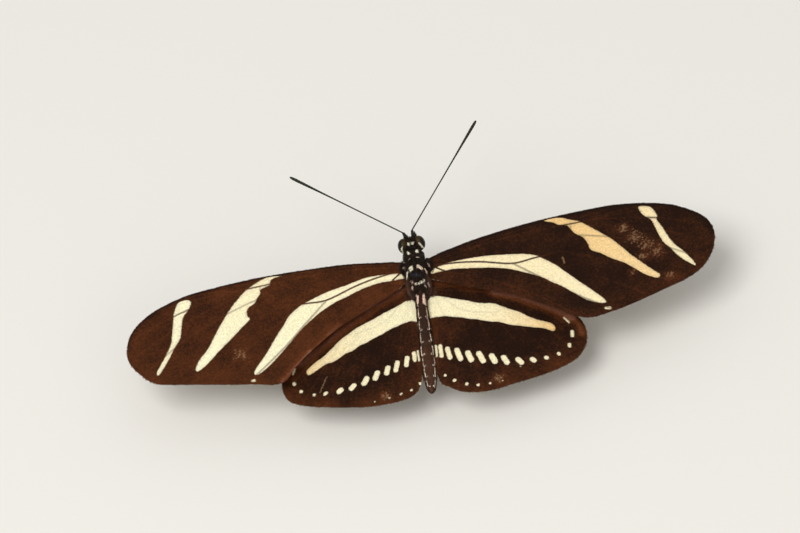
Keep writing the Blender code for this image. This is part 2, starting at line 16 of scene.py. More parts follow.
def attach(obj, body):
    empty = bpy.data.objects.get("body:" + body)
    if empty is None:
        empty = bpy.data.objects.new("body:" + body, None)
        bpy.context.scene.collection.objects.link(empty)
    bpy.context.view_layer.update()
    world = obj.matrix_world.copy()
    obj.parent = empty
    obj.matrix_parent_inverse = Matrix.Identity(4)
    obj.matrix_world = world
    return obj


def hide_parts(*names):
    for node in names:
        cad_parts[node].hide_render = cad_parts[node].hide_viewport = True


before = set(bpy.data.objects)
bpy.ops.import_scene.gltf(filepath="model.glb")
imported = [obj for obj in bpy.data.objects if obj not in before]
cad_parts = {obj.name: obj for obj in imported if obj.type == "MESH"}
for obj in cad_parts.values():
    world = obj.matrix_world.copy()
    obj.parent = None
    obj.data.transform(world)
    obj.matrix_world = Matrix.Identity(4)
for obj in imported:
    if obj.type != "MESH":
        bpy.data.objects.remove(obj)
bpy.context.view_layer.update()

bl_info = {
    "name": "Zebra Longwing Butterfly",
    "version": (1, 0, 0),
    "blender": (4, 5, 0),
    "location": "3D View > Sidebar > Butterfly",
    "description": "Builds a life-size zebra longwing with its wings spread flat",
    "category": "Add Mesh",
}

MM = 0.001
ROOT = "root"
SIDES = {"left": -1, "right": 1}
SEED = 7

# The solids stand with the middle of their footprint on the frame's origin.
FOOTPRINT_MIDDLE = Vector((0.079, -0.959, 0.0))

# The thorax and head lean a little to the butterfly's left, forward of the waist.
WAIST_Y = -4.0
LEAN_PER_MM = 0.06

# Cross-sections: place along the body, middle height, half width, rise above and drop below the middle.
THORAX_SECTIONS = [
    (1.75, 8.35, 0.95, 0.75, 1.00),
    (1.30, 8.30, 1.45, 1.35, 1.70),
    (0.40, 8.15, 1.85, 1.95, 2.35),
    (-0.90, 8.00, 2.05, 2.35, 2.70),
    (-2.10, 7.95, 2.05, 2.35, 2.75),
    (-3.00, 7.90, 1.90, 2.00, 2.60),
    (-3.35, 7.90, 1.85, 1.85, 2.50),
    (-3.95, 7.85, 1.70, 1.95, 2.20),
    (-4.70, 7.80, 1.30, 1.35, 1.60),
    (-5.10, 7.75, 0.85, 0.80, 0.95),
]
NECK_SECTIONS = [
    (3.90, 8.20, 0.90, 0.70, 0.90),
    (3.10, 8.30, 1.42, 1.02, 1.30),
    (2.50, 8.35, 1.68, 1.15, 1.55),
    (1.80, 8.35, 1.66, 1.12, 1.55),
    (1.00, 8.30, 1.35, 1.05, 1.45),
]
ABDOMEN_SECTIONS = [
    (-4.10, 7.70, 0.80, 0.80, 0.80),
    (-5.40, 7.65, 0.94, 0.97, 1.00),
    (-7.20, 7.40, 0.98, 1.02, 1.10),
    (-9.60, 7.00, 1.05, 1.08, 1.20),
    (-12.0, 6.58, 1.16, 1.17, 1.29),
    (-14.4, 6.15, 1.24, 1.22, 1.32),
    (-16.4, 5.80, 1.20, 1.16, 1.22),
    (-18.2, 5.50, 0.98, 0.94, 0.98),
    (-19.4, 5.30, 0.66, 0.62, 0.66),
    (-19.9, 5.24, 0.32, 0.30, 0.32),
]
ABDOMEN_JOINTS = [-6.6, -8.6, -10.6, -12.6, -14.5, -16.3, -17.9]
JOINT_STEP = 0.10
BODY_COAT_DEPTH = {"thorax": 0.24, "neck": 0.20, "abdomen": 0.10}
# Lobes on the right side of the thorax: place, half sizes and turn.
LOBES = {
    "tegula": ((1.72, 0.15, 9.15), (0.42, 0.92, 0.36), math.radians(10.0)),
    "collar": ((0.66, 2.55, 8.95), (0.60, 0.64, 0.46), 0.0),
    "front_coxa": ((0.55, 2.35, 7.05), (0.30, 0.40, 0.55), 0.0),
    "middle_coxa": ((0.74, -0.95, 5.95), (0.42, 0.58, 0.80), 0.0),
    "hind_coxa": ((0.70, -3.05, 6.05), (0.42, 0.58, 0.80), 0.0),
}
HINGE_BALL = (0.55, 1.05, 0.34)
HINGE_INWARD = 0.25
HINGE_BACK = 0.15
SKIN_VOXEL = 0.085
SKIN_SOFTENING = 5

# Where each coat lies along the body, and how many tufts or scales stand on a square millimetre.
THORAX_REACH = (-4.9, 3.5)
THORAX_TUFTS = 62.0
SCALES_FRONT = -4.5
ABDOMEN_SCALES = 88.0
ABDOMEN_HAIR_FRONT = -4.3
ABDOMEN_TUFTS = 9.0
TAIL_FRONT = -18.2
TAIL_TUFTS = 14.0
HEAD_BACK = 3.3
HEAD_TUFTS = 105.0
PALP_TUFTS = 130.0
# Tufts of hair: length and width, how steeply they rise off the skin and how far they bend.
THORAX_HAIR = {"width": 0.085, "rise": math.radians(26.0), "bend": 0.22}
ABDOMEN_HAIR = {"length": 0.42, "width": 0.05, "rise": math.radians(15.0), "bend": 0.10}
HEAD_HAIR = {"length": 0.36, "width": 0.07, "rise": math.radians(38.0), "bend": 0.12}
ORBIT_HAIR = {"length": 0.22, "width": 0.06, "rise": math.radians(14.0), "bend": 0.06}
PALP_HAIR = {"length": 0.26, "width": 0.06, "rise": math.radians(22.0), "bend": 0.08}
# How brown the body is, 0 black to 1 brown, and what each step back adds: how much, from where
# along the body and over what length. The flanks turn brown too, from a distance out and back.
FRONT_BROWN = 0.1
BROWN_STEPS = [(0.35, -3.5, 3.0), (0.5, -12.0, 2.2)]
FLANK_OUT, FLANK_WIDTH = 1.1, 0.4
FLANK_FRONT, FLANK_LENGTH = -1.8, 0.8
SKIN_SHADE = 0.35
# The body's middle line for its map: place along it and height; then the map's hind end and length.
BODY_AXIS = [(-20.0, 5.3), (-9.6, 7.0), (-4.0, 7.8), (4.5, 8.25)]
BODY_BACK = -20.5
BODY_LENGTH = 27.0

HEAD_CENTRE = Vector((-0.51, 4.55, 8.25))
HEAD_YAW = math.radians(3.5)
HEAD_HALF = (1.15, 1.00, 1.23)
FACE_PLACE = (0.0, 0.42, -0.35)
FACE_SIZE = (0.80, 0.86, 0.83)
EYE_OFFSET = (1.14, 0.12, 0.10)
EYE_HALF = (0.84, 1.00, 1.18)
EYE_TILT = math.radians(14.0)
EYE_CLEAR = 1.02
ORBIT_WAY = (0.45, -0.89, 0.0)
ORBIT_EDGE = 0.66
ORBIT_DRAWS = 1900
SOCKET_PLACE = (0.50, 0.78, 1.02)
SOCKET_RADIUS = 0.26

# Feelers: a stout base segment on the brow, then a straight ringed shaft to a slender club.
BASE_SEGMENT_TIP = {"left": (-0.84, 1.20, 1.72), "right": (0.50, 1.33, 1.75)}
BASE_SEGMENT_PROFILE = [
    (0.0, 0.24), (0.12, 0.27), (0.55, 0.26), (0.68, 0.19), (0.74, 0.21), (0.92, 0.20), (1.0, 0.12),
]
ANTENNA_LENGTH = 18.54
ANTENNA_RISE = {"left": math.radians(14.0), "right": math.radians(18.0)}
ANTENNA_TURN = {"left": math.radians(56.6), "right": math.radians(39.7)}
ANTENNA_RINGS = 44
RING_PARTS = (0.0, 0.12, 0.5, 0.88)
RING_WAIST = 0.90
ANTENNA_PROFILE = [
    (0.00, 0.10), (0.35, 0.095), (0.60, 0.11), (0.74, 0.145), (0.86, 0.20), (0.94, 0.23), (0.98, 0.21),
    (1.00, 0.12),
]
PALP_PATH = [(0.78, 0.45, -0.95), (0.82, 1.25, -0.62), (0.80, 1.62, -0.02), (0.76, 1.80, 0.62)]
PALP_RADII = [0.22, 0.26, 0.20, 0.06]
COIL_CENTRE = (0.30, -2.25)
COIL_OUTER = 1.34
COIL_INNER = 0.36
COIL_TURNS = 2.6
COIL_START = math.radians(96.0)
COIL_RADIUS = 0.13
COIL_STEPS = 260
COIL_RIB = 0.05
COIL_RIB_TURN = 2.1

# Legs on the right side; the left ones are mirrored.
WALKING_LEGS = {
    "midleg": [(0.90, -0.75, 5.75), (4.60, 1.55, 5.05), (6.15, 3.40, 0.22), (7.40, 6.20, 0.12)],
    "hindleg": [(0.85, -3.25, 5.80), (4.45, -5.60, 4.75), (6.30, -9.00, 0.22), (7.20, -12.2, 0.12)],
}
BRUSH_FOOT = [(0.62, 2.45, 6.85), (1.20, 3.30, 5.95), (0.98, 1.95, 5.35)]
THIGH_RADII = [0.20, 0.27, 0.25, 0.17]
SHIN_RADII = [0.15, 0.17, 0.14, 0.125]
KNEE_RADIUS = 0.17
FOOT_SHARES = [0.42, 0.18, 0.13, 0.10, 0.17]
FOOT_RADII = [0.085, 0.095, 0.115]
BRUSH_THIGH_RADII = [0.18, 0.22, 0.18]
BRUSH_RADII = [0.17, 0.20, 0.16, 0.08]
SPINE_RADII = [0.022, 0.016, 0.005]
SPUR_RADII = [0.035, 0.028, 0.008]
CLAW_RADII = (0.04, 0.008)
# The pale line under a thigh: how far it lies below the hip and the knee, and half its width.
THIGH_LINE = (0.24, 0.22)
THIGH_LINE_HALF = 0.12

# Wings are drawn flat: outward from the hinge (u) and forward of it (v).
INCIDENCE = math.radians(4.7)
FOREWING = {
    "hinge": (2.1, 0.0, 8.62),
    "lift": math.radians(2.0),
    "sweep": {"left": math.radians(3.1), "right": math.radians(-3.1)},
    "span": 40.2,
    "arch": 0.35,
    "apex": 10,
    "grid": (200, 70),
    "lie": (-7.0, 3.5),
    "outline": {
        "left": [
            (-0.9, 0.98), (3.8, 1.92), (8.5, 2.55), (14.5, 2.8), (20.3, 2.9), (26.3, 2.62), (31, 2.13),
            (34.6, 1.08), (37.4, -0.38), (39.3, -2.3), (40.2, -4.6), (40.2, -6.9), (38.9, -9.4),
            (36.6, -11.6), (31.3, -12.94), (26.8, -13.98), (22.8, -14.82), (20.4, -15.42), (18.7, -15.08),
            (17.3, -13.35), (14.5, -10.85), (10.7, -8.11), (7, -6.18), (3.4, -4.34), (0.6, -2.79),
            (-0.9, -1.62),
        ],
        "right": [
            (-0.9, 0.98), (3.8, 2.15), (8.5, 2.78), (14.5, 3.18), (20.3, 3.24), (26.3, 3.05), (31, 2.27),
            (34.6, 1.1), (37.4, -0.62), (39.2, -2.5), (39.9, -4.8), (39.4, -7.3), (37.8, -9.9),
            (35.2, -11.65), (31, -12.87), (26.8, -14), (22.8, -14.7), (20.3, -14.75), (18.4, -13.9),
            (16.9, -12.6), (14.5, -10.8), (10.7, -8.11), (7, -6.18), (3.4, -4.34), (0.6, -2.79),
            (-0.9, -1.62),
        ],
    },
    "veins": {
        "subcosta": [(-0.5, 0.62), (5.0, 1.74), (10.0, 2.16), (16.5, 2.5)],
        "radius": [(-0.5, 0.3), (5.0, 1.16), (10.0, 1.55), (15.0, 1.62), (19.5, 1.42), (24.0, 1.3)],
        "radius_1": [(13.0, 1.62), (17.0, 2.1), (21.5, 2.52)],
        "radius_2": [(18.0, 1.5), (22.0, 2.12), (26.0, 2.4)],
        "radius_3": [(24.0, 1.3), (27.5, 1.84), (31.0, 1.82)],
        "radius_4": [(24.0, 1.3), (29.5, 1.22), (35.3, 0.52)],
        "radius_5": [(24.0, 1.3), (32.5, -0.73), (39.1, -3.51)],
        "media_1": [(20.4, 1.11), (26.5, -0.53), (32.5, -2.83), (39.5, -6.6)],
        "media_2": [(20.0, -0.45), (26.2, -2.54), (32.4, -5.63), (38.0, -9.5)],
        "media_3": [(18.5, -2.87), (26.6, -7.23), (34.6, -11.8)],
        "cubitus": [
            (-0.5, -0.15), (2.4, -0.45), (4.8, -0.9), (7.3, -1.6), (11.3, -3.0), (14.5, -2.95),
            (18.5, -2.87),
        ],
        "cubitus_1": [(14.5, -2.95), (22.0, -7.95), (29.1, -13.15)],
        "cubitus_2": [(11.3, -3.0), (14.9, -6.5), (18.4, -9.9), (23.7, -14.3)],
        "cell_end": [(20.4, 1.11), (20.0, -0.45), (18.5, -2.87)],
        "anal": [(-0.5, -0.81), (6.0, -3.79), (12.5, -8.18), (19.3, -14.36)],
    },
    # How dark each vein shows where it crosses a pale band.
    "dark_veins": {
        "cubitus": 1.0, "cubitus_2": 0.55, "radius": 0.9, "radius_5": 0.8, "media_2": 0.45, "cell_end": 0.4,
    },
    "bands": {
        "left": {
            "root": [
                (-0.64, -0.75), (0.91, -0.55), (2.78, -0.34), (4.98, -0.3), (6.48, -0.56), (8.17, -1.02),
                (9.67, -1.3), (11.18, -1.64), (12.72, -2.17), (14.74, -3.02), (16.01, -3.81),
                (17.09, -4.82), (18.07, -6.2), (18.96, -7.41), (19.93, -8.78), (20.92, -10.25),
                (21.94, -11.49), (22.64, -12.38), (22.93, -13.01), (22.69, -13.42), (22.01, -13.22),
                (20.89, -12.42), (19.59, -11.31), (17.68, -9.45), (15.57, -7.27), (13.61, -5.66),
                (12.48, -4.83), (11.37, -4.18), (9.81, -3.44), (8.28, -2.92), (6.72, -2.3), (4.89, -1.79),
                (3.24, -1.53), (1.64, -1.62), (0.16, -1.51), (-0.72, -1.53),
            ],
            "middle": [
                (17.2, 2.5), (18.32, 2.69), (19.5, 2.59), (20.86, 2.03), (22.25, 1.25), (23.04, 0.57),
                (24.44, -0.83), (25.66, -2.42), (27.21, -4.7), (28.5, -6.88), (29.26, -7.93),
                (30.15, -8.95), (30.77, -9.88), (31.04, -10.58), (30.69, -10.9), (29.37, -10.05),
                (27.65, -8.46), (26.8, -7.73), (25.37, -6.52), (23.78, -5.03), (22.55, -3.91),
                (22.73, -3.25), (22.76, -2.46), (22.36, -1.78), (21.53, -1.34), (20.9, -0.39),
                (20.51, 0.15), (20.29, 0.89), (19.01, 1.31), (18.8, 1.97), (18.1, 2.42),
            ],
            "tip": [
                (30.44, 0.96), (30.79, 1.36), (31.43, 1.43), (32.23, 1.23), (32.88, 0.05), (33.14, -0.9),
                (33.49, -2.92), (33.89, -4.99), (34.25, -5.98), (34.82, -7.08), (35.6, -8.28),
                (36.37, -9.48), (36.56, -10.04), (36.4, -10.31), (36.04, -10.01), (35.29, -8.97),
                (34.51, -7.77), (33.88, -6.69), (32.72, -4.96), (32.4, -3.8), (31.88, -1.43),
                (31.13, -0.52), (30.65, 0.3),
            ],
        },
        "right": {
            "root": [
                (-0.28, -0.7), (0.67, -0.57), (1.52, -0.45), (2.39, -0.3), (4.73, -0.34), (6.39, -0.48),
                (8.03, -0.69), (9.66, -1.02), (11.59, -1.45), (13.36, -1.92), (14.52, -2.45), (15.68, -3.4),
                (17.19, -4.91), (18.01, -5.95), (19.1, -7.35), (20.05, -8.61), (21.0, -9.77),
                (22.08, -11.16), (22.88, -12.26), (23.17, -12.94), (22.74, -13.02), (21.66, -12.63),
                (20.63, -11.96), (19.5, -10.85), (17.55, -8.72), (16.24, -7.66), (15.24, -6.68),
                (13.92, -5.71), (12.25, -4.63), (10.88, -3.84), (9.31, -3.18), (7.72, -2.68), (6.11, -2.26),
                (4.5, -1.85), (2.88, -1.5), (1.71, -1.5), (0.54, -1.44), (-0.3, -1.4),
            ],
            "middle": [
                (16.9, 2.95), (18.21, 3.05), (19.27, 2.79), (20.42, 2.14), (21.73, 1.49), (22.54, 0.69),
                (24.53, -1.39), (25.45, -2.4), (26.09, -3.24), (26.96, -4.52), (27.81, -5.89),
                (28.69, -7.07), (30.32, -9.2), (30.97, -9.93), (31.27, -10.39), (30.89, -10.76),
                (30.11, -10.37), (29.16, -9.65), (27.07, -7.4), (25.98, -6.54), (24.88, -5.68),
                (23.82, -4.63), (22.57, -3.72), (22.3, -2.51), (21.86, -1.43), (20.92, -0.5), (20.43, 0.31),
                (19.95, 1.21), (18.77, 1.69), (18.08, 2.31),
            ],
            "tip": [
                (30.32, 1.68), (30.87, 1.74), (31.77, 1.46), (32.27, 0.78), (32.63, -0.27), (32.45, -0.95),
                (32.74, -1.84), (33.25, -3.31), (33.65, -4.56), (34.19, -5.84), (34.93, -6.89),
                (35.63, -8.11), (36.2, -9.21), (36.44, -10.02), (35.96, -9.71), (35.06, -8.72),
                (34.19, -7.55), (33.5, -6.24), (32.77, -5.1), (32.21, -3.04), (31.79, -1.01), (31.28, -0.4),
                (30.65, 0.44),
            ],
        },
    },
    # How warm each pale mark is from its near end to its far end, 0 lemon white and 1 buff.
    "warmth": {
        "left": {"root": (0.14, 0.0), "middle": (0.22, 0.0), "tip": (0.04, 0.08)},
        "right": {"root": (0.30, 0.25), "middle": (0.85, 0.65), "tip": (0.45, 0.25)},
    },
    "warmth_rise": 1.0,
    # How light the brown is, 0 to 1: inside, and how much lighter towards the hind and outer margin.
    # The left forewing's inside is painted lighter than the right's: painted sheen where that wing catches
    # more light.
    "tone": {"left": (0.48, 0.16), "right": (0.16, 0.20)},
    # Two tips and the half width of each spot.
    "spots": {"left": [(22.9, -14.2, 23.5, -14.3, 0.20)], "right": [(22.8, -13.9, 23.7, -14.2, 0.22)]},
    "bars": [((0.1, -0.25), (1.58, -1.5), 0.11)],
    "worn": {"left": [(24.5, -9.5, 1.2)], "right": [
        (27.6, -1.3, 0.9), (28.9, -3.2, 1.5), (30.3, -4.9, 1.5), (31.6, -6.2, 1.3), (29.6, -6.6, 0.9),
        (27.6, -8.9, 0.7), (32.6, -10.9, 0.8),
    ]},
    "scratches": {"left": [], "right": [((18.4, -3.9), (18.5, -4.95), 0.10)]},
    # Painted sheen: strips painted lighter where the scales catch the light: how much lighter, how wide,
    # and where they run.
    "sheen": {
        "left": [
            (0.75, 0.45, [(19.2, -15.1), (18.1, -14.2), (16.8, -12.9), (14.8, -11.2)]),
            (0.45, 0.4, [(14.8, -11.2), (10.1, -7.4)]),
        ],
        "right": [],
    },
    "ruby": [(1.6, 0.93, 0.45), (3.4, 0.26, 0.40)],
}
HINDWING = {
    "hinge": (1.9, -3.4, 7.22),
    "lift": math.radians(-1.5),
    "sweep": {"left": 0.0, "right": 0.0},
    "span": 20.2,
    "arch": 0.25,
    "apex": 7,
    "grid": (130, 84),
    "lie": (-3.0, 3.0),
    "outline": {
        "left": [
            (-1.05, 1.6), (0.8, 2.4), (3, 2.4), (6, 1.2), (10, -1.2), (14.3, -4.2), (17.2, -7.3),
            (18.5, -9.9), (18.87, -12.2), (18.2, -14.3), (16.2, -15.6), (13.2, -16.5), (9.6, -17.3),
            (6.7, -17.7), (4.5, -17.72), (2.2, -17.5), (0.5, -16.85), (-0.42, -15.6), (-0.85, -13.6),
            (-1.05, -9), (-1.05, -5), (-1.05, -1.2),
        ],
        "right": [
            (-1.05, 1.6), (0.8, 2.4), (3, 2.4), (6, 1.2), (10, -1.2), (15.2, -4.2), (18.9, -7.15),
            (20.3, -9.4), (20.4, -12), (19.1, -14.4), (16.6, -15.9), (13.2, -16.9), (9.6, -17.6),
            (6.7, -18.1), (4.5, -18.05), (2.2, -17.5), (0.6, -16.4), (-0.42, -15.6), (-0.85, -13.6),
            (-1.05, -9), (-1.05, -5), (-1.05, -1.2),
        ],
    },
    "veins": {
        "costa": [(-0.5, 0.33), (5.5, -0.35), (11.5, -2.74), (17.2, -7.3)],
        "radial_sector": [(-0.5, 0.08), (7.8, -2.1), (14.0, -5.8), (19.6, -10.45)],
        "media_1": [(9.4, -3.6), (13.6, -7.77), (18.9, -13.51)],
        "media_2": [(9.2, -5.09), (12.6, -10.01), (16.2, -15.44)],
        "media_3": [(7.6, -5.39), (10.3, -10.26), (13.0, -16.43)],
        "cell_end": [(7.8, -2.1), (9.4, -3.6), (9.2, -5.09), (7.6, -5.39)],
        "cubitus": [(-0.5, -0.22), (1.0, -1.35), (2.0, -2.6), (3.1, -3.8), (5.2, -4.8), (7.6, -5.39)],
        "cubitus_1": [(5.2, -4.8), (7.3, -10.77), (9.0, -17.28)],
        "cubitus_2": [(3.1, -3.8), (4.2, -9.77), (5.2, -17.53)],
        "anal": [(-0.3, -0.88), (1.3, -5.58), (1.8, -11.52), (2.0, -17.03)],
    },
    "dark_veins": {"cubitus": 0.12, "cell_end": 0.05},
    "bands": {
        "left": {
            "middle": [
                (-1.2, -1.19), (-0.79, -1.16), (0.37, -1.21), (1.18, -1.67), (2.37, -2.15), (3.7, -2.67),
                (5.04, -3.34), (6.36, -3.86), (7.69, -4.44), (8.78, -5.14), (9.86, -5.84), (10.83, -6.63),
                (12.76, -8.28), (13.71, -8.83), (14.66, -9.53), (15.22, -10.09), (15.32, -10.52),
                (14.95, -10.83), (14.22, -10.54), (13.28, -9.99), (12.35, -9.58), (11.43, -9.39),
                (10.63, -9.03), (9.56, -8.42), (8.51, -8.09), (7.42, -7.4), (6.38, -7.14), (5.31, -6.58),
                (3.99, -6.07), (2.65, -5.4), (1.35, -5.02), (0.04, -4.65), (-1.24, -4.68),
            ],
        },
        "right": {
            "middle": [
                (-1.1, -1.09), (0.29, -1.15), (1.61, -1.6), (3.07, -2.19), (4.52, -2.75), (6.25, -3.48),
                (8.17, -3.89), (9.29, -4.63), (10.56, -5.39), (11.69, -6.04), (12.79, -6.94), (13.9, -7.65),
                (14.9, -8.08), (15.88, -8.59), (16.33, -9.28), (16.03, -9.95), (15.47, -9.69),
                (14.63, -9.2), (13.33, -8.85), (11.45, -8.3), (10.01, -7.82), (8.58, -7.16), (7.13, -6.77),
                (5.68, -6.19), (4.23, -5.73), (2.77, -5.21), (1.31, -4.8), (-0.03, -4.61), (-1.21, -4.37),
            ],
        },
    },
    "warmth": {"left": {"middle": (0.08, 0.62)}, "right": {"middle": (0.10, 0.85)}},
    "warmth_rise": 2.5,
    "tone": {"left": (0.10, 0.42), "right": (0.12, 0.38)},
    "spots": {
        "left": [
            (-0.63, -9.69, -0.66, -11.56, 0.15), (-0.04, -9.83, -0.08, -11.58, 0.29),
            (0.9, -10.38, 1.25, -12.25, 0.33), (2.3, -10.93, 2.82, -12.81, 0.35),
            (3.7, -11.52, 4.17, -13.12, 0.37), (5.17, -12.09, 5.88, -13.65, 0.39),
            (6.73, -12.76, 7.53, -14.22, 0.41), (8.58, -13.63, 9.45, -14.64, 0.4),
            (10.4, -14.02, 11.24, -14.77, 0.39), (12.56, -14.25, 13.24, -14.64, 0.25),
            (14.28, -14.21, 14.73, -14.38, 0.22), (16.43, -13.1, 16.23, -13.62, 0.25),
            (17.33, -11.6, 17.09, -12.21, 0.23), (16.91, -9.27, 17.31, -10.37, 0.15),
            (-0.5, -15.3, -0.5, -15.34, 0.25), (0.85, -16.14, 0.85, -16.18, 0.19),
            (2.33, -16.54, 2.33, -16.58, 0.18), (4.03, -16.87, 4.03, -16.91, 0.15),
            (6.1, -17.08, 6.1, -17.12, 0.1),
        ],
        "right": [
            (-1.08, -9.86, -0.94, -11.41, 0.15), (-0.61, -9.33, -0.59, -11.32, 0.17),
            (-0.01, -9.33, 0.07, -11.58, 0.29), (0.91, -9.91, 1.26, -12.12, 0.35),
            (2.2, -10.37, 2.74, -12.65, 0.39), (3.66, -11.12, 4.23, -13.14, 0.41),
            (5.16, -11.49, 5.88, -13.61, 0.4), (6.87, -12.22, 7.54, -14.02, 0.41),
            (8.51, -12.77, 9.18, -14.45, 0.4), (10.38, -13.5, 11.26, -14.76, 0.39),
            (12.38, -13.83, 13.04, -14.69, 0.37), (14.31, -13.94, 14.88, -14.43, 0.29),
            (16.26, -13.53, 16.43, -14.08, 0.25), (17.95, -12.26, 18.03, -13.02, 0.23),
            (18.61, -10.12, 18.56, -11.33, 0.24), (17.68, -7.83, 18.4, -8.96, 0.12),
            (0.26, -14.57, 0.26, -14.61, 0.22), (1.48, -15.68, 1.48, -15.72, 0.25),
            (3.12, -16.6, 3.12, -16.64, 0.25), (4.69, -17.04, 4.69, -17.08, 0.22),
            (6.38, -17.05, 6.38, -17.09, 0.19), (8.17, -16.93, 8.17, -16.97, 0.11),
            (10.81, -15.07, 10.81, -15.11, 0.09),
        ],
    },
    "bars": [],
    "worn": {"left": [(4.6, -16.5, 0.9)], "right": [(7.6, -16.4, 1.0)]},
    "scratches": {
        "left": [((12.5, -11.6), (13.66, -14.1), 0.07)],
        "right": [((18.0, -8.2), (18.4, -8.6), 0.10)],
    },
    # Painted sheen: strips painted lighter where the scales catch the light, which also lighten the
    # hindwing where the forewing's edge shades it.
    "sheen": {
        "left": [
            (1.25, 0.85, [
                (0.6, 1.2), (3.2, -0.3), (6.6, -2.4), (9.3, -4.1), (12.0, -5.8), (14.0, -7.3), (15.8, -8.7),
            ]),
            (0.5, 0.5, [(16.6, -8.9), (17.3, -11.0)]),
        ],
        "right": [
            (0.7, 0.7, [(-0.1, 1.5), (5.2, -0.3), (8.7, -1.9)]),
            (1.5, 0.8, [(8.7, -1.9), (12.2, -3.6), (14.7, -5.0), (16.9, -6.5), (18.6, -7.8)]),
            (0.8, 0.5, [(18.6, -7.8), (19.6, -9.0), (19.9, -10.8)]),
        ],
    },
    "ruby": [(0.9, 0.14, 0.45), (2.4, -1.05, 0.42), (3.6, -2.83, 0.36), (0.7, -2.24, 0.34)],
}
VEIN_SHOULDER = 0.07
VEIN_SHOULDER_WIDTH = 0.45
VEIN_TAPER = 0.62
VEIN_SUNK = 0.25
VEIN_STEP = 0.6
VEIN_END_GAP = 0.25
VEIN_LINE_HALF = 0.20
FAINT_VEIN = 0.04
# Veins painted lighter along their ridges, a painted highlight: how much lighter, and over what half width.
VEIN_SHEEN = 0.12
VEIN_SHEEN_HALF = 0.14
# The brown is lighter along the trailing edge and darker along the leading one, this far in.
TRAIL_REACH = 2.2
LEAD_REACH = 0.35
LEAD_DARK = 0.45
MEMBRANE_SHADE = 0.4
WORN_TONE = 0.35
RIM_THICKNESS = 0.05
RIM_WIDTH = 0.5
UNDER_PALENESS = 0.35
SPOT_WARMTH = 0.12
SCRATCHED = 3.0
# Scales lie in rows along arcs between these angles. The steps across and along and the length are
# in scale widths, the jitter is a share of the step, and the lift and the fringe are in millimetres.
SCALE_ARC = (math.radians(230.0), math.radians(30.0))
SCALE_STEPS = (0.88, 1.12)
SCALE_JITTER = 0.16
SCALE_LENGTH = 1.8
SCALE_LIFT = 0.004
FRINGE_START = 1.0
FRINGE_SUNK = 0.10
FRINGE_STEP = 0.055
FRINGE_WIDTH = 0.085
FRINGE_LEVEL = 0.012
# The coats' maps: the share that one scale or tuft takes, the margin, and a wing's share of its map.
BAKE_PATCH = 0.003
MAP_MARGIN = 0.02
WING_MAP_MARGIN = 0.015
WING_MAP_SIZE = 0.47

# The pale marks on the body: two ends of each stroke, its half width, and its warmth,
# which is 0 for white, 1 for rose and 2 for a painted reflection, the blue-grey that the sky lends a glossy
# bare patch.
BODY_STROKES = [
    ((-0.87, 4.02, 9.34), (-0.85, 3.95, 9.34), 0.20, 0.0),
    ((-0.27, 4.02, 9.37), (-0.25, 3.95, 9.37), 0.21, 0.0),
    ((-1.66, 4.22, 9.43), (-1.66, 4.14, 9.43), 0.12, 0.3),
    ((0.36, 4.58, 9.21), (0.38, 4.50, 9.21), 0.11, 0.3),
    ((-1.92, 3.83, 9.05), (-1.96, 3.66, 8.50), 0.15, 0.05),
    ((-1.96, 3.66, 8.50), (-1.90, 3.70, 7.95), 0.14, 0.1),
    ((0.71, 4.03, 9.18), (0.97, 3.80, 8.60), 0.14, 0.05),
    ((0.97, 3.80, 8.60), (1.10, 3.94, 7.93), 0.13, 0.1),
    ((-0.99, 2.30, 9.49), (-0.98, 2.14, 9.47), 0.22, 0.05),
    ((0.18, 2.40, 9.53), (0.28, 2.24, 9.50), 0.26, 0.05),
    ((-0.97, 1.27, 9.53), (-0.96, 1.12, 9.55), 0.19, 0.5),
    ((0.15, 1.32, 9.53), (0.42, 1.24, 9.50), 0.17, 0.5),
    ((-1.70, 0.86, 9.50), (-1.74, 0.70, 9.53), 0.18, 0.4),
    ((-1.83, -0.36, 9.54), (-1.85, -0.50, 9.54), 0.18, 1.45),
    ((1.20, 0.95, 9.48), (1.32, 0.85, 9.46), 0.19, 1.40),
    ((-0.82, -1.02, 10.20), (-0.78, -1.40, 10.20), 0.33, 0.0),
    ((0.30, -1.00, 10.27), (0.74, -1.32, 10.10), 0.30, 0.50),
    ((-1.50, -1.55, 9.76), (-1.60, -2.25, 9.46), 0.19, 0.25),
    ((1.27, -1.34, 9.69), (1.44, -1.82, 9.46), 0.13, 0.9),
    ((1.62, -0.35, 9.57), (1.83, -0.62, 9.41), 0.14, 1.45),
    ((-0.80, -2.25, 10.05), (0.50, -2.55, 9.98), 0.24, 2.0),
    ((1.50, -3.60, 8.85), (1.58, -3.72, 8.70), 0.22, 1.50),
    ((-1.09, -3.11, 9.51), (-0.62, -3.62, 9.66), 0.14, 0.9),
    ((-0.62, -3.62, 9.66), (-0.10, -3.88, 9.76), 0.15, 0.4),
    ((0.95, -3.23, 9.49), (0.40, -3.70, 9.68), 0.15, 0.0),
    ((0.40, -3.70, 9.68), (-0.10, -3.88, 9.76), 0.15, 0.05),
    ((-0.90, -4.02, 9.37), (-0.93, -4.14, 9.30), 0.17, 0.9),
    ((1.00, -3.92, 9.38), (1.04, -4.04, 9.32), 0.18, 0.5),
    ((-0.42, -5.02, 8.52), (-0.50, -6.05, 8.46), 0.21, 0.75),
    ((-0.52, -6.05, 8.44), (-0.60, -7.30, 8.20), 0.08, 0.5),
    ((0.52, -5.02, 8.46), (0.50, -6.20, 8.42), 0.22, 0.75),
    ((0.60, -6.20, 8.38), (0.62, -7.50, 8.16), 0.10, 0.7),
]
LINES_FRONT = -5.3
LINES_BACK = -19.3
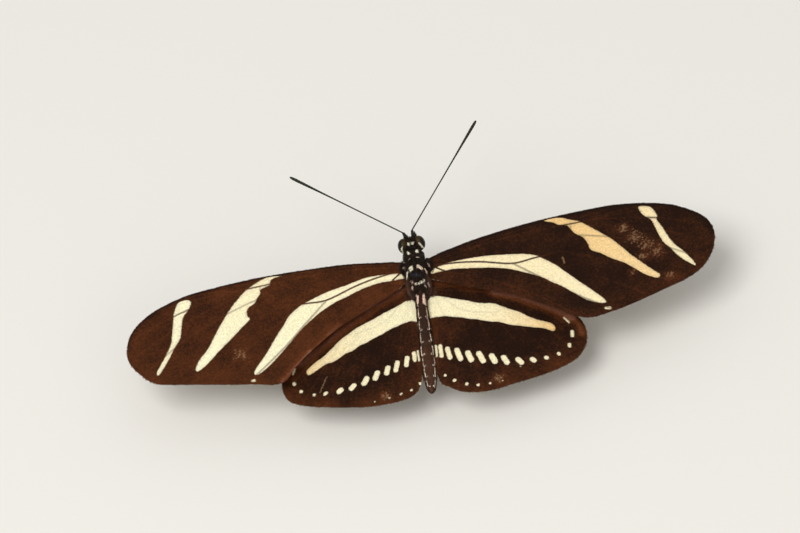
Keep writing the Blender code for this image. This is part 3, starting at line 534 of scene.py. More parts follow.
# Thin broken lines along the abdomen: angle round it at the front and back, half width, share of
# each segment that a dash covers, and how far each segment's bracket reaches towards the middle.
ABDOMEN_LINES = [
    {"angles": (126.0, 130.0), "half": 0.060, "cover": 0.74, "bracket": 26.0},
    {"angles": (44.0, 34.0), "half": 0.075, "cover": 0.72, "bracket": 22.0},
    {"angles": (14.0, 6.0), "half": 0.035, "cover": 0.88, "bracket": 0.0},
    {"angles": (166.0, 174.0), "half": 0.035, "cover": 0.88, "bracket": 0.0},
    {"angles": (200.0, 200.0), "half": 0.10, "cover": 0.80, "bracket": 0.0},
    {"angles": (-20.0, -20.0), "half": 0.10, "cover": 0.80, "bracket": 0.0},
    {"angles": (-90.0, -90.0), "half": 0.20, "cover": 0.86, "bracket": 0.0},
]

# The camera stands at the photograph's viewing angle.
CAMERA_PLACE = Vector((39.83, -362.39, 444.31))
CAMERA_RIGHT = Vector((0.98476, -0.07413, -0.15731))
CAMERA_UP = Vector((0.15722, 0.76607, 0.62324))
LENS = 180.0
SENSOR = 36.0
# Lights and floor in metres: where each square light stands and how wide it is.
KEY_PLACE, KEY_SIZE = (-0.25, -0.30, 0.80), 0.50
FILL_PLACE, FILL_SIZE = (0.45, -0.70, 0.35), 0.70
LIGHT_AIM = (0.0, 0.0, 0.01)
FLOOR_HALF = 3.0


def linear(code):
    """An sRGB hex colour as linear red, green and blue."""
    channels = [int(code[i:i + 2], 16) / 255 for i in (1, 3, 5)]
    return tuple(c / 12.92 if c <= 0.04045 else ((c + 0.055) / 1.055) ** 2.4 for c in channels)


def midline(y):
    """Where the middle of the body lies across, at a place along it."""
    return -LEAN_PER_MM * np.maximum(0.0, y - WAIST_Y)


def smooth_curve(points, per_span, closed=False):
    """A smooth run of points through the given ones, for rows of any length."""
    pts = np.array(points, dtype=float)
    count = len(pts)
    curve = []
    for i in range(count if closed else count - 1):
        p1 = pts[i]
        p2 = pts[(i + 1) % count]
        p0 = pts[i - 1] if closed or i > 0 else p1
        p3 = pts[(i + 2) % count] if closed or i + 2 < count else p2
        for k in range(per_span):
            t = k / per_span
            curve.append(
                0.5 * (2 * p1 + (p2 - p0) * t + (2 * p0 - 5 * p1 + 4 * p2 - p3) * t ** 2
                       + (3 * p1 - p0 - 3 * p2 + p3) * t ** 3)
            )
    if not closed:
        curve.append(pts[-1])
    return np.array(curve)


def along(curve, shares):
    """Places on a run of points, at shares of its length."""
    reach = np.concatenate([[0.0], np.cumsum(np.linalg.norm(np.diff(curve, axis=0), axis=1))])
    goals = np.asarray(shares) * reach[-1]
    return np.column_stack([np.interp(goals, reach, curve[:, k]) for k in range(curve.shape[1])])


def spread(values, shares):
    """Values set evenly along a length, read off at shares of it."""
    return np.interp(shares, np.linspace(0, 1, len(values)), values)


def length_of(curve):
    """How long a run of points is."""
    return float(np.linalg.norm(np.diff(curve, axis=0), axis=1).sum())


def gap_to_run(points, run):
    """How far each point is from a run of points, and how far along the run its nearest place is."""
    best = np.full(len(points), np.inf)
    share = np.zeros(len(points))
    for i, (a, b) in enumerate(zip(run[:-1], run[1:])):
        step = b - a
        t = np.clip((points - a) @ step / max(step @ step, 1e-12), 0.0, 1.0)
        gap = np.linalg.norm(points - a - t[:, None] * step, axis=1)
        closer = gap < best
        best[closer] = gap[closer]
        share[closer] = (i + t[closer]) / (len(run) - 1)
    return best, share


def inside_loop(points, loop):
    """Which points lie inside a closed loop."""
    x, y = points.T
    odd = np.zeros(len(points), dtype=bool)
    for (x1, y1), (x2, y2) in zip(loop, np.roll(loop, -1, axis=0)):
        if y1 != y2:
            crosses = ((y1 > y) != (y2 > y)) & (x < (x2 - x1) * (y - y1) / (y2 - y1) + x1)
            odd ^= crosses
    return odd


def closed_run(loop):
    """A loop's points with its first one again at the end."""
    return np.vstack([loop, loop[:1]])


def signed_gap(points, loop):
    """How far each point is from a closed loop, less than zero inside it."""
    gap, _ = gap_to_run(points, closed_run(loop))
    return np.where(inside_loop(points, loop), -gap, gap)


def stroke_gap(points, start, end, half):
    """How far each point is outside a stroke with round ends."""
    start = np.array(start)
    step = np.array(end) - start
    t = np.clip((points - start) @ step / max(step @ step, 1e-9), 0.0, 1.0)
    return np.linalg.norm(points - start - t[:, None] * step, axis=1) - half


def unit(vectors):
    """Each row scaled to a length of one."""
    return vectors / np.maximum(np.linalg.norm(vectors, axis=1), 1e-9)[:, None]


def add_rings(bm, rings, tips=None):
    """A closed skin over rings of points, drawn to a point past each end ring."""
    loops = []
    for ring in rings:
        verts = [bm.verts.new(p) for p in ring]
        edges = [bm.edges.new((a, b)) for a, b in zip(verts, verts[1:] + verts[:1])]
        loops.append((verts, edges))
    for (_, first), (_, second) in zip(loops, loops[1:]):
        bmesh.ops.bridge_loops(bm, edges=first + second)
    if tips:
        for (verts, _), tip in zip((loops[0], loops[-1]), tips):
            point = bm.verts.new(tip)
            for a, b in zip(verts, verts[1:] + verts[:1]):
                bm.faces.new((a, b, point))


def add_tube(bm, path, radii, sides=10):
    """A round tube along a path, with a radius for each of its points and rounded ends."""
    points = [Vector(p) for p in path]
    around = zip(points[:1] + points[:-1], points[1:] + points[-1:])
    ways = [(after - before).normalized() for before, after in around]
    across = ways[0].orthogonal().normalized()
    rings = []
    for point, way, radius in zip(points, ways, radii):
        across = (across - way * across.dot(way)).normalized()
        up = way.cross(across)
        rings.append([
            point + (across * math.cos(a) + up * math.sin(a)) * radius
            for a in (math.tau * i / sides for i in range(sides))
        ])
    tips = (points[0] - ways[0] * radii[0] * 0.5, points[-1] + ways[-1] * radii[-1] * 0.5)
    add_rings(bm, rings, tips)


def add_ball(bm, centre, half, turn=None, segments=24, rings=16):
    """A ball stretched to half sizes about its centre, then turned."""
    place = Matrix.Translation(centre) @ (turn.to_4x4() if turn else Matrix.Identity(4))
    place = place @ Matrix.Diagonal((*half, 1.0))
    bmesh.ops.create_uvsphere(bm, u_segments=segments, v_segments=rings, radius=1.0, matrix=place)


def add_length(bm, sections, depth, sides=40, per_span=4, joints=()):
    """A length of body over its cross-sections, inside them by the coat's depth."""
    rows = smooth_curve(sections, per_span)
    rings = []
    for y, z, half, rise, drop in rows:
        step = 0.0
        for joint in joints:
            # Each segment's hind edge stands proud of the next one's front edge.
            step += JOINT_STEP * math.exp(-max(0.0, joint - y) / 0.45) * (y < joint)
            step += JOINT_STEP * 0.25 * math.exp(-abs(y - joint) / 0.2)
        inset = depth + min(step, JOINT_STEP * 1.2)
        ring = []
        for i in range(sides):
            a = math.tau * i / sides
            high = (rise if math.sin(a) > 0 else drop) - inset
            ring.append(Vector((midline(y) + (half - inset) * math.cos(a), y, z + high * math.sin(a))))
        rings.append(ring)
    tips = [
        Vector((midline(row[0]), row[0] + way * 0.3 * row[2], row[1]))
        for row, way in ((rows[0], 1), (rows[-1], -1))
    ]
    add_rings(bm, rings, tips)


def fused(bm, voxel, soften):
    """Everything in the bmesh as one even, softened skin."""
    mesh = bpy.data.meshes.new("fusing")
    bm.to_mesh(mesh)
    bm.free()
    item = bpy.data.objects.new("fusing", mesh)
    bpy.context.scene.collection.objects.link(item)
    even = item.modifiers.new("even_skin", "REMESH")
    even.mode = "VOXEL"
    even.voxel_size = voxel
    smooth = item.modifiers.new("soften", "SMOOTH")
    smooth.factor = 0.5
    smooth.iterations = soften
    bpy.context.view_layer.update()
    shape = bpy.data.meshes.new_from_object(item.evaluated_get(bpy.context.evaluated_depsgraph_get()))
    bpy.data.objects.remove(item, do_unlink=True)
    bpy.data.meshes.remove(mesh)
    return shape


def vertex_array(mesh):
    """The places of a mesh's vertices."""
    places = np.empty(len(mesh.vertices) * 3)
    mesh.vertices.foreach_get("co", places)
    return places.reshape(-1, 3)


def set_marks(mesh, marks):
    """One named number for each vertex, for the materials to read."""
    for name, values in marks.items():
        layer = mesh.attributes.new(name, "FLOAT", "POINT")
        layer.data.foreach_set("value", np.asarray(values, dtype=np.float32))


def place_piece(mesh, name, finish, replaces=(), smooth=True):
    """Move a mesh from the maker's millimetres to the frame, and tie the piece to it."""
    mesh.name = name
    mesh.transform(Matrix.Scale(MM, 4) @ Matrix.Translation(-FOOTPRINT_MIDDLE))
    mesh.materials.clear()
    mesh.materials.append(finish)
    if smooth:
        mesh.shade_smooth()
    else:
        mesh.shade_flat()
    item = bpy.data.objects.new(name, mesh)
    bpy.context.scene.collection.objects.link(item)
    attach(item, ROOT)
    if replaces:
        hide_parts(*replaces)
    return item


def mesh_of(bm):
    """A mesh from a bmesh, its faces turned outward."""
    bmesh.ops.recalc_face_normals(bm, faces=bm.faces)
    mesh = bpy.data.meshes.new("piece")
    bm.to_mesh(mesh)
    bm.free()
    return mesh


# A scale of the abdomen: a root, two shoulders and a blunt tip over a low keel; across, along, up.
BODY_SCALE = (
    np.array([
        (0.0, 0.0, 0.0), (0.5, 0.42, 0.035), (0.36, 1.0, 0.07), (-0.36, 1.0, 0.07), (-0.5, 0.42, 0.035),
        (0.0, 0.5, -0.02),
    ]),
    np.array([(0, 1, 4), (1, 2, 3), (1, 3, 4), (1, 0, 5), (2, 1, 5), (3, 2, 5), (4, 3, 5), (0, 4, 5)]),
)

# A wing scale is finer: a root, two shoulders and a tip over a low keel.
WING_SCALE = (
    np.array([
        (0.0, 0.0, 0.0), (0.5, 0.62, 0.05), (0.0, 1.0, 0.07), (-0.5, 0.62, 0.05), (0.0, 0.55, -0.03),
    ]),
    np.array([(0, 1, 3), (1, 2, 3), (1, 0, 4), (2, 1, 4), (3, 2, 4), (0, 3, 4)]),
)


def hair_shape(bend):
    """A three-sided tapering tuft that curves over towards the way it lies."""
    rows = [(0.0, 1.0), (0.38, 0.85), (0.72, 0.5)]
    points = []
    for share, width in rows:
        for k in range(3):
            a = math.tau * (k / 3 + 0.25)
            rise = -bend * share * share + 0.06 * math.sin(a) * width
            points.append((math.cos(a) * width * 0.5, share, rise))
    points.append((0.0, 1.0, -bend))
    faces = [(0, 1, 2)]
    for r in range(2):
        for k in range(3):
            a, b = r * 3 + k, r * 3 + (k + 1) % 3
            faces += [(a, a + 3, b), (b, a + 3, b + 3)]
    faces += [(6 + k, 9, 6 + (k + 1) % 3) for k in range(3)]
    return np.array(points), np.array(faces)


def lay(shape, roots, ways, ups, widths, lengths):
    """Copies of one small closed shape, each at its root along its way, with its face up."""
    points, faces = shape
    across = np.cross(ways, ups)
    verts = (
        roots[:, None, :]
        + points[None, :, 0, None] * widths[:, None, None] * across[:, None, :]
        + points[None, :, 1, None] * lengths[:, None, None] * ways[:, None, :]
        + points[None, :, 2, None] * lengths[:, None, None] * ups[:, None, :]
    )
    index = faces[None] + len(points) * np.arange(len(roots))[:, None, None]
    return verts.reshape(-1, 3), index.reshape(-1, 3)


def coat_mesh(batches):
    """One mesh of many laid shapes, a batch for each shape with its places and marks."""
    all_verts, all_faces, all_uvs, all_marks = [], [], [], {}
    start = 0
    for batch in batches:
        shape = batch["shape"]
        verts, faces = lay(shape, *batch["laid"])
        if batch["matrix"] is not None:
            matrix = np.array(batch["matrix"])
            verts = verts @ matrix[:3, :3].T + matrix[:3, 3]
            if np.linalg.det(matrix[:3, :3]) < 0:
                faces = faces[:, ::-1]
        all_verts.append(verts)
        all_faces.append(faces + start)
        start += len(verts)
        size = shape[0][:, :2] - shape[0][:, :2].mean(axis=0)
        uv = batch["map"][:, None, :] + size[None] * BAKE_PATCH
        all_uvs.append(uv.reshape(-1, 2))
        for name, values in batch["marks"].items():
            all_marks.setdefault(name, []).append(np.repeat(values, len(shape[0])))
    verts = np.vstack(all_verts)
    faces = np.vstack(all_faces)
    uvs = np.clip(np.vstack(all_uvs), 0.0, 1.0)
    mesh = bpy.data.meshes.new("coat")
    mesh.from_pydata(verts, [], faces)
    layer = mesh.uv_layers.new(name="OFBake")
    layer.data.foreach_set("uv", uvs[faces.reshape(-1)].astype(np.float32).reshape(-1))
    set_marks(mesh, {name: np.concatenate(parts) for name, parts in all_marks.items()})
    return mesh


# The kinds and settings of node that the finishes share.
MATH, MIX, STEP, MARK = "ShaderNodeMath", "ShaderNodeMix", "ShaderNodeMapRange", "ShaderNodeAttribute"
SOFT = {"interpolation_type": "SMOOTHSTEP"}
COLOUR = {"output": 2, "data_type": "RGBA"}

# Sizes in millimetres of the wing's blotches, of its fine mottling and of its specks, which are wear and
# painted glints, and how softly a pale mark ends on the wings and on the body.
BLOTCH_SIZE = 4.0
MOTTLE_SIZE = 0.35
SPECK_SIZE = 0.38
WING_EDGE = 0.045
BODY_EDGE = 0.04


def connect(tree, node, inputs):
    """Give a node's inputs, named or numbered, their values or links."""
    for socket, value in inputs.items():
        if isinstance(value, bpy.types.NodeSocket):
            tree.links.new(value, node.inputs[socket])
        else:
            node.inputs[socket].default_value = value


def add_node(tree, kind, inputs, output=0, **settings):
    """Add a node with its settings and its input values or links, and give one of its outputs."""
    node = tree.nodes.new(kind)
    for key, value in settings.items():
        setattr(node, key, value)
    connect(tree, node, inputs)
    return node.outputs[output]


def new_finish(name):
    """A new material with its Principled shader and its node tree."""
    finish = bpy.data.materials.new(name)
    finish.use_nodes = True
    return finish, finish.node_tree, finish.node_tree.nodes["Principled BSDF"]


def tint(colour):
    """A colour of the panel as a node takes it."""
    return (*colour[:3], 1.0)


def grain(tree, size, detail=2.0, rough=0.5):
    """Noise with blotches of a real size in millimetres, from 0 to 1 about a half."""
    place = add_node(tree, "ShaderNodeTexCoord", {}, "Object")
    inputs = {"Vector": place, "Scale": 1.0 / (size * MM), "Detail": detail, "Roughness": rough}
    return add_node(tree, "ShaderNodeTexNoise", inputs, "Fac")


def mottle(tree, strength, size, detail=2.0, rough=0.5):
    """The same noise about nought, as strong as asked."""
    about = add_node(tree, MATH, {0: grain(tree, size, detail, rough), 1: 0.5}, operation="SUBTRACT")
    return add_node(tree, MATH, {0: about, 1: strength}, operation="MULTIPLY")


def ragged_edge(tree, strength, size):
    """The gap to the nearest pale mark, uneven where scales overlap at the mark's edge."""
    gap = add_node(tree, MARK, {}, "Fac", attribute_name="pale")
    return add_node(tree, MATH, {0: gap, 1: mottle(tree, strength, size)}, operation="ADD")


def shaded(tree, colour, low, high):
    """Each hair or scale a little darker or lighter than its neighbours."""
    shade = add_node(tree, MARK, {}, "Fac", attribute_name="shade")
    value = add_node(tree, STEP, {0: shade, 3: low, 4: high}, **SOFT)
    grey = add_node(tree, "ShaderNodeCombineColor", {0: value, 1: value, 2: value})
    return add_node(tree, MIX, {0: 1.0, 6: colour, 7: grey}, blend_type="MULTIPLY", **COLOUR)


def set_surface(tree, shader, colour, height, depth, strength, values):
    """The shader's colour, its relief of a real depth in millimetres, and its other values."""
    relief = {"Height": height, "Distance": depth * MM, "Strength": strength}
    normal = add_node(tree, "ShaderNodeBump", relief)
    connect(tree, shader, {"Base Color": colour, "Normal": normal, **values})


def wing_scales():
    """Overlapping chitin scales: a velvety brown that breaks at crisp, slightly ragged edges into cream."""
    looks = bpy.context.scene.butterfly_wings
    finish, tree, shader = new_finish("wing_scales")
    names = ("vein", "tone", "worn", "warmth", "under", "ruby")
    mark = {name: add_node(tree, MARK, {}, "Fac", attribute_name=name) for name in names}

    # Broad blotches and fine mottling make the brown uneven. Strips of painted sheen turn it towards a
    # lighter satin brown where scales catch the light, and on the hindwing where the forewing's edge shades
    # it.
    blotch, fine = mottle(tree, 0.9, BLOTCH_SIZE, 4.0, 0.6), mottle(tree, 1.1, MOTTLE_SIZE, 3.0, 0.75)
    uneven = add_node(tree, MATH, {0: blotch, 1: fine}, operation="ADD")
    tone = add_node(tree, MATH, {0: mark["tone"], 1: uneven}, operation="ADD")
    light = add_node(tree, STEP, {0: tone}, **SOFT)
    brown = add_node(tree, MIX, {0: light, 6: tint(looks.brown_dark), 7: tint(looks.brown_light)}, **COLOUR)
    satin = add_node(tree, STEP, {0: tone, 1: 0.9, 2: 1.7}, **SOFT)
    brown = add_node(tree, MIX, {0: satin, 6: brown, 7: tint(looks.satin)}, **COLOUR)

    # Where scales have rubbed off, paler specks show. Scattered over the rest of the wing, the same specks
    # are painted glints off single scales that stand at an odd angle.
    wear = add_node(tree, MATH, {0: mark["worn"], 1: 0.26}, operation="MULTIPLY")
    specks = add_node(tree, MATH, {0: grain(tree, SPECK_SIZE, 3.0, 0.7), 1: wear}, operation="ADD")
    worn = add_node(tree, STEP, {0: specks, 1: 0.68, 2: 0.82, 4: 0.80}, **SOFT)
    brown = add_node(tree, MIX, {0: worn, 6: brown, 7: tint(looks.worn)}, **COLOUR)

    # The bands go from lemon white to buff and are duller at their edges, and dark veins cross them.
    edge = ragged_edge(tree, 0.16, 0.30)
    cream = add_node(tree, MIX, {0: mark["warmth"], 6: tint(looks.cream), 7: tint(looks.buff)}, **COLOUR)
    dusk = add_node(tree, STEP, {0: edge, 1: -0.45, 2: 0.0, 4: 0.16}, **SOFT)
    cream = add_node(tree, MIX, {0: dusk, 6: cream, 7: tint(looks.worn)}, **COLOUR)
    band = add_node(tree, STEP, {0: edge, 1: WING_EDGE, 2: -WING_EDGE}, **SOFT)
    clear = add_node(tree, MATH, {0: 1.0, 1: mark["vein"]}, operation="SUBTRACT")
    cream_share = add_node(tree, MATH, {0: band, 1: clear}, operation="MULTIPLY")
    colour = add_node(tree, MIX, {0: cream_share, 6: brown, 7: cream}, **COLOUR)

    # The under face is paler, with ruby spots near the hinge.
    faded = add_node(tree, MIX, {0: 0.35, 6: colour, 7: tint(looks.cream)}, **COLOUR)
    paleness = add_node(tree, MATH, {0: mark["under"], 1: UNDER_PALENESS}, operation="MULTIPLY")
    colour = add_node(tree, MIX, {0: paleness, 6: colour, 7: faded}, **COLOUR)
    spot = add_node(tree, STEP, {0: mark["ruby"], 1: 0.05, 2: -0.05}, **SOFT)
    ruby = add_node(tree, MATH, {0: spot, 1: mark["under"]}, operation="MULTIPLY")
    colour = add_node(tree, MIX, {0: ruby, 6: colour, 7: tint(looks.ruby)}, **COLOUR)

    # Real scales stand about 0.08 mm apart; these rows are drawn wider so that they show.
    colour, rows = shaded(tree, colour, 0.86, 1.16), grain(tree, 0.16, 1.0)
    set_surface(tree, shader, colour, rows, 0.015, 0.30, {"Roughness": 0.62, "Specular IOR Level": 0.08})
    return finish


def body_coat():
    """Hair and flat scales over chitin: near black, warm brown where light gets in, with white flecks."""
    looks = bpy.context.scene.butterfly_body
    finish, tree, shader = new_finish("body_coat")
    mark = {name: add_node(tree, MARK, {}, "Fac", attribute_name=name) for name in ("brown", "warmth")}
    dark = add_node(tree, MIX, {0: mark["brown"], 6: tint(looks.black), 7: tint(looks.brown)}, **COLOUR)
    rosy = add_node(tree, STEP, {0: mark["warmth"]}, **SOFT)
    white = add_node(tree, MIX, {0: rosy, 6: tint(looks.white), 7: tint(looks.rose)}, **COLOUR)
    # Marks of warmth near 2 take a painted reflection: the blue-grey of the sky on glossy bare patches.
    glossy = add_node(tree, STEP, {0: mark["warmth"], 1: 1.2, 2: 1.8}, **SOFT)
    white = add_node(tree, MIX, {0: glossy, 6: white, 7: tint(looks.painted_reflection)}, **COLOUR)
    edge = ragged_edge(tree, 0.10, 0.2)
    white_share = add_node(tree, STEP, {0: edge, 1: BODY_EDGE, 2: -BODY_EDGE}, **SOFT)
    colour = add_node(tree, MIX, {0: white_share, 6: dark, 7: white}, **COLOUR)
    colour, rough = shaded(tree, colour, 0.72, 1.30), grain(tree, 0.12)
    set_surface(tree, shader, colour, rough, 0.03, 0.5, {"Roughness": 0.48, "Specular IOR Level": 0.18})
    return finish


def eye_lens():
    """Thousands of tiny lenses under a clear, glossy skin: near black, with an olive-brown rim."""
    looks = bpy.context.scene.butterfly_head
    finish, tree, shader = new_finish("compound_eye_lens")
    rim = add_node(tree, MARK, {}, "Fac", attribute_name="rim")
    uneven = add_node(tree, MATH, {0: rim, 1: mottle(tree, 1.0, 0.5)}, operation="ADD")
    share = add_node(tree, STEP, {0: uneven, 1: 0.45, 2: 1.3}, **SOFT)
    colour = add_node(tree, MIX, {0: share, 6: tint(looks.eye_core), 7: tint(looks.eye_rim)}, **COLOUR)
    # Real lenses are 0.025 mm across; these are drawn at 0.07 mm so that they show.
    place = add_node(tree, "ShaderNodeTexCoord", {}, "Object")
    cells = {"Vector": place, "Scale": 1.0 / (0.07 * MM), "Randomness": 0.25}
    lens = add_node(tree, "ShaderNodeTexVoronoi", cells, "Distance", feature="F1")
    dome = add_node(tree, MATH, {0: 1.0, 1: lens}, operation="SUBTRACT")
    gloss = {"Roughness": 0.30, "Specular IOR Level": 0.12, "Coat Weight": 0.05, "Coat Roughness": 0.10}
    set_surface(tree, shader, colour, dome, 0.02, 0.6, gloss)
    return finish


def feeler_cuticle():
    """Bare, finely ringed chitin: black with an olive cast, satin."""
    looks = bpy.context.scene.butterfly_head
    finish, tree, shader = new_finish("feeler_cuticle")
    ring = add_node(tree, MARK, {}, "Fac", attribute_name="ring")
    share = add_node(tree, STEP, {0: ring, 1: 0.55, 2: 0.9}, **SOFT)
    colour = add_node(tree, MIX, {0: share, 6: tint(looks.feeler), 7: tint(looks.feeler_ring)}, **COLOUR)
    satin = {"Roughness": 0.50, "Specular IOR Level": 0.22}
    set_surface(tree, shader, colour, grain(tree, 0.08), 0.01, 0.4, satin)
    return finish


def leg_cuticle():
    """Scaled chitin: dark brown-black with a paler line of scales under each thigh."""
    looks = bpy.context.scene.butterfly_legs
    finish, tree, shader = new_finish("leg_cuticle")
    gap = add_node(tree, MARK, {}, "Fac", attribute_name="pale")
    pale = add_node(tree, STEP, {0: gap, 1: 0.02, 2: -0.02}, **SOFT)
    dark = add_node(tree, MIX, {0: grain(tree, 0.4), 6: tint(looks.dark), 7: tint(looks.brown)}, **COLOUR)
    colour = add_node(tree, MIX, {0: pale, 6: dark, 7: tint(looks.cream)}, **COLOUR)
    set_surface(tree, shader, colour, grain(tree, 0.10), 0.015, 0.5, {"Roughness": 0.45})
    return finish


def tongue_cuticle():
    """A tube of bare chitin: dark amber brown, glossy on the ribs."""
    looks = bpy.context.scene.butterfly_head
    finish, tree, shader = new_finish("tongue_cuticle")
    ring = add_node(tree, MARK, {}, "Fac", attribute_name="ring")
    blotch = grain(tree, 0.3)
    colour = add_node(tree, MIX, {0: blotch, 6: tint(looks.tongue), 7: tint(looks.tongue_light)}, **COLOUR)
    set_surface(tree, shader, colour, ring, 0.02, 0.7, {"Roughness": 0.32})
    return finish


def studio_floor():
    """Matt painted board: a plain, pale, slightly warm grey."""
    finish, tree, shader = new_finish("studio_floor")
    colour = tint(bpy.context.scene.butterfly_stage.floor)
    connect(tree, shader, {"Base Color": colour, "Roughness": 0.85, "Specular IOR Level": 0.2})
    return finish


def colour_of(name, description, code):
    """A colour of the panel, from its sRGB hex code."""
    return FloatVectorProperty(
        name=name, description=description, default=linear(code), size=3, min=0.0, max=1.0, subtype="COLOR")


def size_of(name, description, millimetres):
    """A length of the panel."""
    return FloatProperty(
        name=name, description=description, default=millimetres * MM, min=0.0, precision=5,
        subtype="DISTANCE", unit="LENGTH")


class WingLooks(bpy.types.PropertyGroup):
    root_thickness: size_of("Root thickness", "Membrane at the hinge, with its bed of scales", 0.16)
    tip_thickness: size_of("Tip thickness", "Membrane near the tip", 0.09)
    vein_radius: size_of("Vein radius", "Main veins at the hinge", 0.15)
    upper_scale: size_of("Upper scale width", "Each scale of the upper face across its shoulders", 0.135)
    lower_scale: size_of("Lower scale width", "Each scale of the under face across its shoulders", 0.18)
    fringe_length: size_of("Fringe", "Hair scales that stand out past the margin", 0.26)
    brown_dark: colour_of("Dark brown", "Darkest scales", "#211006")
    brown_light: colour_of("Light brown", "Lightest scales, towards the margins", "#5f3217")
    # Painted sheen: the lighter brown of strips painted where scales catch the light or the forewing shades
    # the hindwing.
    satin: colour_of("Satin brown", "Scales that catch the light where the wings overlap", "#84543f")
    cream: colour_of("Cream", "Coolest scales of the bands", "#faf4d0")
    buff: colour_of("Buff", "Warmest scales of the bands", "#efc47a")
    worn: colour_of("Worn", "Membrane where scales have rubbed off", "#87674a")
    ruby: colour_of("Ruby", "Small spots at the roots of the underside", "#8e1c22")


class BodyLooks(bpy.types.PropertyGroup):
    hair_length: size_of("Hair length", "Hair on the thorax", 0.62)
    scale_length: size_of("Scale length", "Flat scales on the abdomen", 0.26)
    black: colour_of("Black", "Head and thorax", "#1c140c")
    brown: colour_of("Brown", "Abdomen and flanks", "#4d2f1f")
    white: colour_of("White", "Spots and lines", "#fbf5dc")
    rose: colour_of("Rose", "Pinkish spots and lines", "#f0cbb4")
    # A painted reflection: the blue-grey that the sky lends glossy bare patches of the back.
    painted_reflection: colour_of("Reflection", "Glossy bare patches of the back", "#33323a")


class HeadLooks(bpy.types.PropertyGroup):
    eye_core: colour_of("Eye", "Middle of the eye", "#120c08")
    eye_rim: colour_of("Eye rim", "Edge of the eye", "#3e3010")
    feeler: colour_of("Feeler", "Antennae", "#131408")
    feeler_ring: colour_of("Feeler rings", "Pale bands between antenna segments", "#33331f")
    tongue: colour_of("Tongue", "Coiled proboscis", "#2a1a0e")
    tongue_light: colour_of("Tongue ribs", "Lighter parts of the proboscis", "#54351b")


class LegLooks(bpy.types.PropertyGroup):
    dark: colour_of("Dark", "Legs", "#19120e")
    brown: colour_of("Brown", "Lighter blotches on the legs", "#33241a")
    cream: colour_of("Cream", "Lines of pale scales under the thighs", "#d9cfa8")


class StageLooks(bpy.types.PropertyGroup):
    floor: colour_of("Floor", "Studio floor", "#e6e3dc")
    key_power: FloatProperty(
        name="Key light", description="Power of the main soft light", default=4.6, unit="POWER")
    fill_power: FloatProperty(
        name="Fill light", description="Power of the second soft light", default=1.4, unit="POWER")
    sky: FloatProperty(name="Sky", description="Strength of the even light all round", default=0.55)


def head_turn():
    """How far the head is turned."""
    return Matrix.Rotation(HEAD_YAW, 3, "Z")


def on_head(x, y, z):
    """A place given in the head's own directions."""
    return HEAD_CENTRE + head_turn() @ Vector((x, y, z))


def eye_place(side):
    """The matrix that makes an eye out of a ball."""
    x, y, z = EYE_OFFSET
    turn = head_turn() @ Matrix.Rotation(side * EYE_TILT, 3, "Z")
    return Matrix.Translation(on_head(side * x, y, z)) @ turn.to_4x4() @ Matrix.Diagonal((*EYE_HALF, 1.0))


def on_abdomen(y, degrees):
    """A place on the abdomen's surface, at an angle round it from the right side."""
    rows = np.array(ABDOMEN_SECTIONS)[::-1]
    z, half, rise, drop = (np.interp(y, rows[:, 0], rows[:, k]) for k in range(1, 5))
    a = math.radians(degrees)
    depth = BODY_COAT_DEPTH["abdomen"]
    high = (rise if math.sin(a) > 0 else drop) - depth
    return midline(y) + (half - depth) * math.cos(a), y, z + high * math.sin(a)


def abdomen_strokes():
    """Dashes in lines along the abdomen, one a segment, some bracketed at its hind edge."""
    rng = np.random.default_rng(SEED)
    strokes = []
    edges = [LINES_FRONT, *ABDOMEN_JOINTS, LINES_BACK]
    for line in ABDOMEN_LINES:
        first, last = line["angles"]
        for i, (front, back) in enumerate(zip(edges, edges[1:])):
            share = i / (len(edges) - 2)
            angle = first + (last - first) * share + rng.uniform(-2.5, 2.5)
            warmth = 0.75 - 0.45 * share
            start = front + (back - front) * (1.0 - line["cover"]) * rng.uniform(0.4, 0.9)
            end = start + (back - front) * line["cover"] * rng.uniform(0.85, 1.0)
            half = line["half"] * rng.uniform(0.8, 1.25)
            strokes.append((on_abdomen(start, angle), on_abdomen(end, angle), half, warmth))
            if line["bracket"] and i:
                inward = angle + math.copysign(line["bracket"], 90.0 - angle)
                tips = on_abdomen(back + 0.1, angle), on_abdomen(back + 0.22, inward)
                strokes.append((*tips, half * 0.6, warmth))
    return strokes


def body_marks(places):
    """The pale marks and browns of skin and coat, from where each point lies."""
    strokes = BODY_STROKES + abdomen_strokes()
    pale = np.full(len(places), np.inf)
    warmth = np.zeros(len(places))
    for start, end, half, warm in strokes:
        gap = stroke_gap(places, start, end, half)
        closer = gap < pale
        pale[closer] = gap[closer]
        warmth[closer] = warm
    # The abdomen is near black as far as its middle and warmer brown behind it.
    brown = np.full(len(places), FRONT_BROWN)
    for gain, front, reach in BROWN_STEPS:
        brown += gain * np.clip((front - places[:, 1]) / reach, 0.0, 1.0)
    out = np.abs(places[:, 0] - midline(places[:, 1]))
    flank = np.clip((out - FLANK_OUT) / FLANK_WIDTH, 0.0, 1.0)
    flank = flank * np.clip((FLANK_FRONT - places[:, 1]) / FLANK_LENGTH, 0.0, 1.0)
    return {"pale": pale, "warmth": warmth, "brown": np.maximum(brown, flank)}


